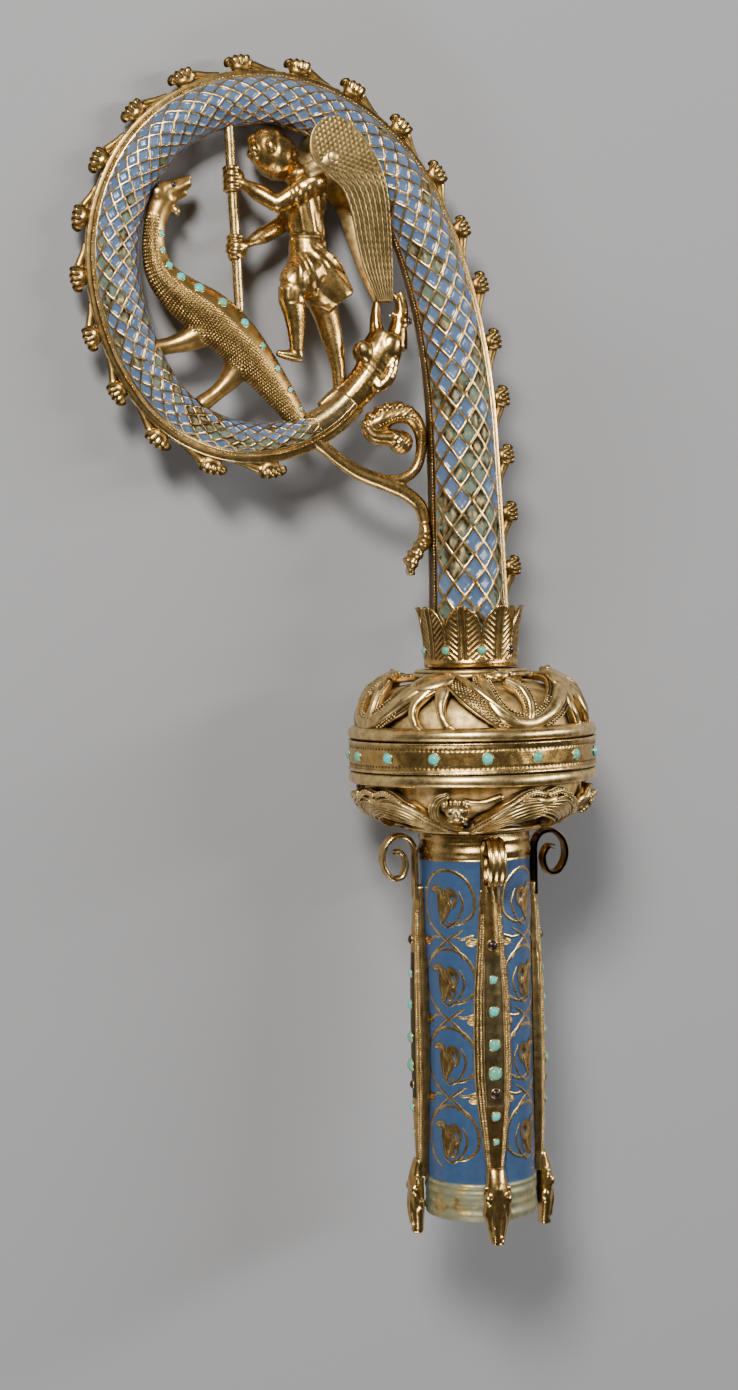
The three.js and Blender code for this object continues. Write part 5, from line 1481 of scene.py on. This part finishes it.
def stem(bm, points, wide=0.42, steps=40):
    """A flat line of metal with a slight crown, through points of (around, z)."""
    made = grid(bm, 3, round(0.8 * steps))

    def place(co):
        x, z = spline(points, co.y)
        x1, z1 = spline(points, min(co.y + 0.02, 1))
        x0, z0 = spline(points, max(co.y - 0.02, 0))
        way = Vector((x1 - x0, z1 - z0)).normalized()
        taper = 0.45 + 0.55 * math.sin(math.pi * min(1, 4 * min(co.y, 1 - co.y) + 0.1) / 2)
        off = (co.x - 0.5) * 2
        return on_socket(x - way.y * off * wide * taper, z + way.x * off * wide * taper, 0.03 + 0.09 * (1 - off * off))

    bend(made, place)


def lobe(bm, root, angle, length, wide, curl=0.0, engraved=True):
    """An engraved leaf lobe from its root, at an angle from straight up, curling as it grows."""
    made = grid(bm, 10, 16)

    def place(co):
        t, off = co.y, (co.x - 0.5) * 2
        a = math.radians(angle + curl * t)
        x = root[0] + length * t * math.sin(math.radians(angle + 0.5 * curl * t))
        z = root[1] + length * t * math.cos(math.radians(angle + 0.5 * curl * t))
        half = wide * math.sin(math.pi * min(1.0, 0.12 + 0.88 * t)) ** 0.6 * (1 - 0.35 * t)
        rim = 0.08 * (abs(off) > 0.82)
        lines = 0.09 * math.sin(7 * t + 5 * abs(off)) if engraved and abs(off) < 0.8 else 0.0
        vein = -0.1 * math.exp(-((off / 0.16) ** 2)) if engraved else 0.0
        return on_socket(x + half * off * math.cos(a), z - half * off * math.sin(a), 0.09 + rim + lines + vein)

    bend(made, place)


def palmette(bm, middle, z, way, kind):
    """The flower of a roundel: a drooping calyx, two side lobes and a curled tip."""
    lobe(bm, (middle - 1.2 * way, z + 3.0), 180 - 12 * way, 8.6, 2.3, 26 * way)
    lobe(bm, (middle - 0.2 * way, z + 2.6), 100 * way, 4.6, 2.1, 120 * way)
    lobe(bm, (middle - 0.6 * way, z + 1.4), 150 * way, 5.6, 1.7, 70 * way)
    lobe(bm, (middle - 1.6 * way, z + 2.4), -30 * way, 3.6, 1.3, -110 * way)
    if kind % 2:
        lobe(bm, (middle + 1.4 * way, z - 0.6), 165 * way, 4.8, 1.2, 60 * way)
    stem(bm, [(middle + 3.4 * way, z + 3.2), (middle + 4.7 * way, z - 0.4), (middle + 3.2 * way, z - 4.4), (middle + 0.4 * way, z - 6.4), (middle - 2.2 * way, z - 5.2)], 0.34, 28)


vine = bmesh.new()
for field in range(FIELDS):
    middle = (field + 0.5) * 2 * math.pi * SOCKET_RADIUS / FIELDS
    for k in range(4):
        z, way = ROUNDEL_TOP - ROUNDEL_PITCH * k, 1 if field % 2 else -1
        circle = []
        for i in range(15):
            a = math.radians(200 + 24.5 * i)
            r = ROUNDEL_RADIUS * (1 - 0.42 * max(0, i - 11) / 3)
            circle.append((middle + way * 0.92 * r * math.sin(a), z + r * math.cos(a)))
        stem(vine, circle, 0.42, 72)
        palmette(vine, middle, z, way, k)
        for side in (-1, 1):
            corner = (middle + side * 7.4, z - ROUNDEL_PITCH / 2 + 1.8 * side * way)
            if k < 3:
                stem(vine, [(middle - side * 4.6, z - 7.0), (middle - side * 0.6, z - 9.6), (middle + side * 3.0, z - 12.4), (middle + side * 4.8, z - 15.0)], 0.36, 24)
                stem(vine, [(middle + side * 2.2, z - 9.2), (middle + side * 4.6, z - 9.4), corner], 0.3, 16)
                lobe(vine, (middle + side * 5.6, z - ROUNDEL_PITCH / 2), side * 60, 3.3, 0.9, side * 50)
                lobe(vine, (middle + side * 5.4, z - ROUNDEL_PITCH / 2), side * 120, 3.0, 0.8, -side * 60)
join_doubles(vine, 0.002)
for face in vine.faces:
    middle = face.calc_center_median()
    if face.normal.dot(Vector((middle.x, middle.y, 0))) < 0:
        face.normal_flip()
finish_piece(vine, "socket_vine", [worn_gilt], ["socket"], reach=3, full=0.06, tidy=False)

# %% [markdown]
# ## The lizards
# Four lizards run head down along the socket and brace the knop with their rolled tails. The body is a
# hollow strip, arched over the tube, with two lines of twisted wire along each side and a dark panel down
# the back that carries its beads.

# %% A lizard's body
LIZARD_WALL = SOCKET_RADIUS + 0.9
LIZARD_WIDTH = [(-111, 2.5), (-106, 2.3), (-98, 3.2), (-90, 4.2), (-82, 4.9), (-70, 4.9), (-60, 4.6), (-46, 3.4), (-34, 2.6)]
LIZARD_THICK = [(-111, 2.2), (-106, 2.0), (-98, 2.3), (-82, 2.8), (-60, 2.7), (-46, 2.0), (-34, 1.2)]
LIZARD_FROM, LIZARD_TO = -33.4, -110.8
PANEL = (-90.5, -50.0)
PANEL_SHARE = 0.5
WIRES = (0.62, 0.78)
LIZARD_BEADS = [
    (-47.7, 1.25, "garnet"), (-56.7, 1.05, "turquoise"), (-64.9, 1.3, "turquoise"), (-73.6, 1.55, "green"),
    (-81.0, 1.8, "green"), (-86.2, 1.15, "garnet"), (-92.2, 1.15, "turquoise"), (-98.9, 0.75, "turquoise"),
]


def lizard_arch(u, z):
    """Height over the socket across the body, u from -1 to 1."""
    thick = look_up(LIZARD_THICK, z)
    arch = 0.3 + 0.7 * math.cos(min(1.0, abs(u)) * math.pi / 2) ** 0.7
    ledge = -0.12 if WIRES[0] - 0.1 < abs(u) < WIRES[1] + 0.1 else 0.0
    cut = abs(((z + 48) / 7.4) % 1 - 0.5)
    band = -0.14 * (cut < 0.035 or 0.09 < cut < 0.125) * (abs(u) > 0.86)
    panel = -0.22 * fade(PANEL_SHARE - abs(u), 0.0, 0.06) * fade(z, PANEL[0], PANEL[0] + 2) * (1 - fade(z, PANEL[1] - 2, PANEL[1]))
    return thick * arch + ledge + band + panel


def lizard_point(u, z, high=0.0):
    across = u * look_up(LIZARD_WIDTH, z) / LIZARD_WALL
    return round_point(math.degrees(across), LIZARD_WALL + lizard_arch(u, z) + high, z)


def lizard_trunk(bm, across=40, along=110):
    made = grid(bm, across, along)

    def place(co):
        return lizard_point(2 * co.x - 1, LIZARD_FROM + (LIZARD_TO - LIZARD_FROM) * co.y)

    bend(made, place)
    made_set = set(made)
    skirt = bmesh.ops.extrude_edge_only(bm, edges=[e for e in bm.edges if e.is_boundary and e.verts[0] in made_set])["geom"]
    for v in [g for g in skirt if isinstance(g, bmesh.types.BMVert)]:
        v.co.xy *= (SOCKET_RADIUS + 0.25) / v.co.xy.length
    for face in bm.faces:
        middle = face.calc_center_median()
        u = abs(math.atan2(middle.x, -middle.y)) * LIZARD_WALL / look_up(LIZARD_WIDTH, middle.z)
        if u < PANEL_SHARE and PANEL[0] + 0.8 < middle.z < PANEL[1] - 0.8 and middle.xy.length > LIZARD_WALL + 1:
            face.material_index = 1


def lizard_wires(bm, pitch=0.66, radius=0.33):
    for side in (-1, 1):
        for wire in WIRES:
            z = -40.0
            while z > -108:
                bmesh.ops.create_icosphere(bm, subdivisions=1, radius=radius, matrix=Matrix.Translation(lizard_point(side * wire, z, 0.05)))
                z -= pitch


# The rolled tail: radius and height of the strap's middle.
TAIL = [
    (LIZARD_WALL + 0.75, -37.0), (LIZARD_WALL + 0.75, -33.0), (LIZARD_WALL + 0.75, -29.0), (LIZARD_WALL + 0.95, -23.4),
    (18.6, -20.5), (22.0, -20.5), (24.5, -23.4), (24.8, -27.6), (22.6, -31.2), (19.8, -30.9), (18.7, -27.4), (20.0, -24.6), (21.8, -24.5),
]


def lizard_tail(bm, half_wide=2.5, half_thick=0.5):
    count = 36
    made = grid(bm, count, 84)

    def place(co):
        turn_share = round(co.x * count) / count
        outer = turn_share < 0.5
        x = half_wide * (4 * turn_share - 1 if outer else 3 - 4 * turn_share)
        ridges = 0.26 * math.cos(2 * math.pi * x / (0.68 * half_wide))
        thick = (half_thick + ridges * 0.6) * (1 if outer else -1)
        r, z = spline(TAIL, co.y)
        r1, z1 = spline(TAIL, min(co.y + 0.01, 1))
        r0, z0 = spline(TAIL, max(co.y - 0.01, 0))
        way = Vector((r1 - r0, z1 - z0)).normalized()
        narrow = 1 - 0.12 * co.y
        return Vector((x * narrow, -(r + thick * way.y), z - thick * way.x))

    bend(made, place)


def lizard_head():
    bm = bmesh.new()
    y = -LIZARD_WALL
    limb(bm, [(0, y - 1.3, -106.0, 2.3, 1.3), (0, y - 1.9, -109.6, 2.8, 1.9), (0, y - 2.2, -113.4, 3.5, 2.1), (0, y - 2.1, -117.2, 3.5, 2.1), (0, y - 1.9, -121.6, 2.7, 1.8), (0, y - 1.7, -125.8, 1.7, 1.3)], sides=16)
    for side in (-1, 1):
        lump(bm, (side * 2.5, y - 3.2, -113.6), (1.35, 1.2, 1.6))
        lump(bm, (side * 2.9, y - 1.6, -117.4), (1.0, 1.4, 1.8))
        lump(bm, (side * 0.9, y - 3.0, -125.0), (0.75, 0.6, 0.9))
        limb(bm, [(side * 1.2, y - 3.9, -115.4, 0.5), (side * 1.3, y - 3.9, -119.0, 0.6), (side * 0.9, y - 3.4, -123.6, 0.5)], sides=8)
        limb(bm, [(side * 2.9, y - 2.6, -110.4, 0.6), (side * 3.5, y - 2.2, -112.4, 0.5)], sides=8)
    lump(bm, (0, y - 3.4, -111.2), (1.0, 0.9, 1.5))
    return cast(bm, cell=0.34, smooth=2)


skull = lizard_head()
skull_mesh = bpy.data.meshes.new("skull")
skull.to_mesh(skull_mesh)
skull.free()
dark_panel = gilded("dark panel on the lizards", whole=0.3, bright=(0.10, 0.075, 0.035), rubbed=(0.05, 0.038, 0.02), dull=0.45)
print("lizard's head faces:", len(skull_mesh.polygons))

# %% Four lizards
for k in range(4):
    lizard = bmesh.new()
    lizard_trunk(lizard)
    lizard_tail(lizard)
    join_doubles(lizard, 0.003)
    bmesh.ops.holes_fill(lizard, edges=[e for e in lizard.edges if e.is_boundary and e.verts[0].co.z > -36], sides=60)
    lizard_wires(lizard)
    lizard.from_mesh(skull_mesh)
    bmesh.ops.rotate(lizard, verts=lizard.verts[:], cent=(0, 0, 0), matrix=Matrix.Rotation(math.pi / 2 * k, 3, "Z"))
    finish_piece(lizard, f"lizard_casting_{k + 1}", [gilt, dark_panel], [f"lizard_{k + 1}"], reach=4, full=0.14)

# %% [markdown]
# ## Turquoises
# Every stone is a small dome of glass in a thin collar. The CAD beads say where the stones of the girdle,
# the coronet and the dragon are; those on the lizards follow the arch of the back.

# %% Cabochons and collars


def facing(place, out):
    """A frame at a place whose z looks out."""
    return Matrix.Translation(place) @ Vector(out).to_track_quat("Z", "Y").to_matrix().to_4x4()


def cabochon(glass, collars, place, radius, rise=0.7):
    dome = place @ Matrix.Diagonal((radius, radius, radius * rise, 1))
    bmesh.ops.create_uvsphere(glass, u_segments=20, v_segments=12, radius=1, matrix=dome)
    section = [collars.verts.new((radius + 0.05 + 0.17 * math.cos(a), 0, 0.02 + 0.2 * math.sin(a))) for a in (0, 1.26, 2.51, 3.77, 5.03)]
    ring = [collars.edges.new(pair) for pair in zip(section, section[1:] + section[:1])]
    before = len(collars.verts) - len(section)
    bmesh.ops.spin(collars, geom=section + ring, cent=(0, 0, 0), axis=(0, 0, 1), dvec=(0, 0, 0), angle=2 * math.pi, steps=20, use_merge=True)
    collars.verts.ensure_lookup_table()
    bmesh.ops.transform(collars, matrix=place, verts=collars.verts[before:])


stones = {"turquoise": bmesh.new(), "green": bmesh.new(), "garnet": bmesh.new()}
replaced = {"turquoise": [], "green": [], "garnet": []}
collars = bmesh.new()
upright = laying.inverted()
for node in sorted(frame["nodes"]):
    if "_bead_" not in node:
        continue
    corner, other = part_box(node)
    middle = upright @ ((Vector(corner) + Vector(other)) / 2)
    angle = math.degrees(math.atan2(middle.x, -middle.y))
    number = int(node.split("_")[-1])
    if node.startswith("girdle"):
        spot, radius, out = round_point(angle, KNOP_RADIUS - 0.36, 1.5), 1.45, round_point(angle, 1, 0)
        glass = "green" if number % 5 in (2, 3) else "turquoise"
    elif node.startswith("coronet"):
        spot, radius, out = round_point(angle, 12.35, 28.4), 1.15, round_point(angle, 1, 0)
        glass = "garnet" if 40 < angle < 50 or number == 6 else "green" if number % 3 else "turquoise"
    else:
        hit, normal, *_ = dragon_tree.find_nearest(middle)
        radius = (0.8, 0.8, 1.05, 1.2, 1.4, 1.3, 1.25, 0.95, 0.85, 0.75, 0.55)[number - 1]
        spot, out = hit, normal
        glass = "green" if number in (6, 8) else "turquoise"
    cabochon(stones[glass], collars, facing(spot, out), radius)
    replaced[glass].append(node)
for k in range(4):
    for z, radius, glass in LIZARD_BEADS:
        spin_k = Matrix.Rotation(math.pi / 2 * k, 4, "Z")
        cabochon(stones[glass], collars, spin_k @ facing(lizard_point(0, z), (0, -1, 0)), radius)
for glass, finish in (("turquoise", turquoise), ("green", green_turquoise), ("garnet", garnet)):
    finish_piece(stones[glass], f"{glass}_stones", [finish], replaced[glass])
finish_piece(collars, "stone_collars", [gilt])

# %% [markdown]
# ## What is left of the CAD model
# A node whose solid already has the right form only needs its finish.

# %% Finishes for the CAD nodes that stay
NODE_FINISHES = {
    "dragon": gilt,
    "saint": worn_gilt,
    "lance": worn_gilt,
    "wing_front": olive_gilt,
    "wing_back": olive_gilt,
    "tendril": worn_gilt,
    "coronet": gilt,
    "knop_upper": worn_gilt,
    "knop_girdle": worn_gilt,
    "knop_lower": worn_gilt,
    "knop_liner": liner_gilt,
    "socket": socket_enamel,
    "lizard": gilt,
    "bead": turquoise,
}
for node, shown in frame["nodes"].items():
    if shown.hide_render:
        continue
    finish = next(value for key, value in NODE_FINISHES.items() if key in node)
    shown.data.materials.clear()
    shown.data.materials.append(finish)
print("CAD nodes still shown:", sum(not shown.hide_render for shown in frame["nodes"].values()))

# %% [markdown]
# ## Floor, light and camera
# The head lies on a plain pale floor and the camera looks down on it, as it would look at the standing head
# from its front. The camera is first placed in the upright frame and then laid down with the pieces.

# %% The floor
low, high = cad_box
stage = bmesh.new()
bmesh.ops.create_grid(stage, x_segments=1, y_segments=1, size=3.0)
floor_mesh = bpy.data.meshes.new("floor")
stage.to_mesh(floor_mesh)
stage.free()
floor = bpy.data.objects.new("floor", floor_mesh)
floor.location.z = low.z - 0.0002
bpy.context.scene.collection.objects.link(floor)
floor_finish, tree, shader = new_finish("pale paper")
shader.inputs["Base Color"].default_value = (0.28, 0.277, 0.28, 1)
shader.inputs["Roughness"].default_value = 0.9
floor_mesh.materials.append(floor_finish)

# %% Soft studio light


def soft_light(name, place, aim, size, power, colour=(1, 1, 1)):
    lamp = bpy.data.lights.new(name, "AREA")
    lamp.shape = "RECTANGLE"
    lamp.size, lamp.size_y = size
    lamp.energy = power
    lamp.color = colour
    holder = bpy.data.objects.new(name, lamp)
    holder.location = place
    holder.rotation_euler = (Vector(aim) - Vector(place)).to_track_quat("-Z", "Y").to_euler()
    bpy.context.scene.collection.objects.link(holder)
    return holder


soft_light("key", (-0.5, 0.75, 0.95), (0, 0.03, 0.02), (0.3, 0.3), 26, (1, 0.98, 0.95))
soft_light("side", (0.95, 0.3, 0.7), (0, 0, 0.02), (0.12, 0.8), 11)
soft_light("foot", (-0.45, -1.1, 0.7), (0, -0.03, 0.02), (0.7, 0.15), 8)
world = bpy.data.worlds.new("studio")
world.use_nodes = True
world.node_tree.nodes["Background"].inputs["Color"].default_value = (0.62, 0.63, 0.66, 1)
world.node_tree.nodes["Background"].inputs["Strength"].default_value = 0.1
bpy.context.scene.world = world

# %% The camera
FOCAL_PIXELS = 2302
FRAME_PIXELS = 1390
eye = Vector((-147.19, -591.60, 38.28))
yaw = math.radians(14) - math.atan(103.3 / FOCAL_PIXELS)
pitch, tilt = math.radians(2), math.radians(1.2)
ahead = Vector((math.sin(yaw) * math.cos(pitch), math.cos(yaw) * math.cos(pitch), -math.sin(pitch)))
level = Vector((math.cos(yaw), -math.sin(yaw), 0))
above = level.cross(ahead)
up = math.cos(tilt) * above + math.sin(tilt) * level
right = math.cos(tilt) * level - math.sin(tilt) * above
pose = Matrix((
    (*[right.x, up.x, -ahead.x], eye.x),
    (*[right.y, up.y, -ahead.y], eye.y),
    (*[right.z, up.z, -ahead.z], eye.z),
    (0, 0, 0, 1),
))
lens = bpy.data.cameras.new("camera")
lens.sensor_fit = "VERTICAL"
lens.sensor_height = 24
lens.sensor_width = 24
lens.lens = 24 * FOCAL_PIXELS / FRAME_PIXELS
lens.clip_start, lens.clip_end = 0.01, 20
camera = bpy.data.objects.new("camera", lens)
laid_pose = laying @ pose
spot, spin, _ = laid_pose.decompose()
camera.matrix_world = Matrix.LocRotScale(spot, spin, None)
bpy.context.scene.collection.objects.link(camera)
bpy.context.scene.camera = camera
print("camera at", [round(c, 3) for c in camera.location])

# %% Sizes
print("CAD box", [[round(c, 4) for c in corner] for corner in cad_box])
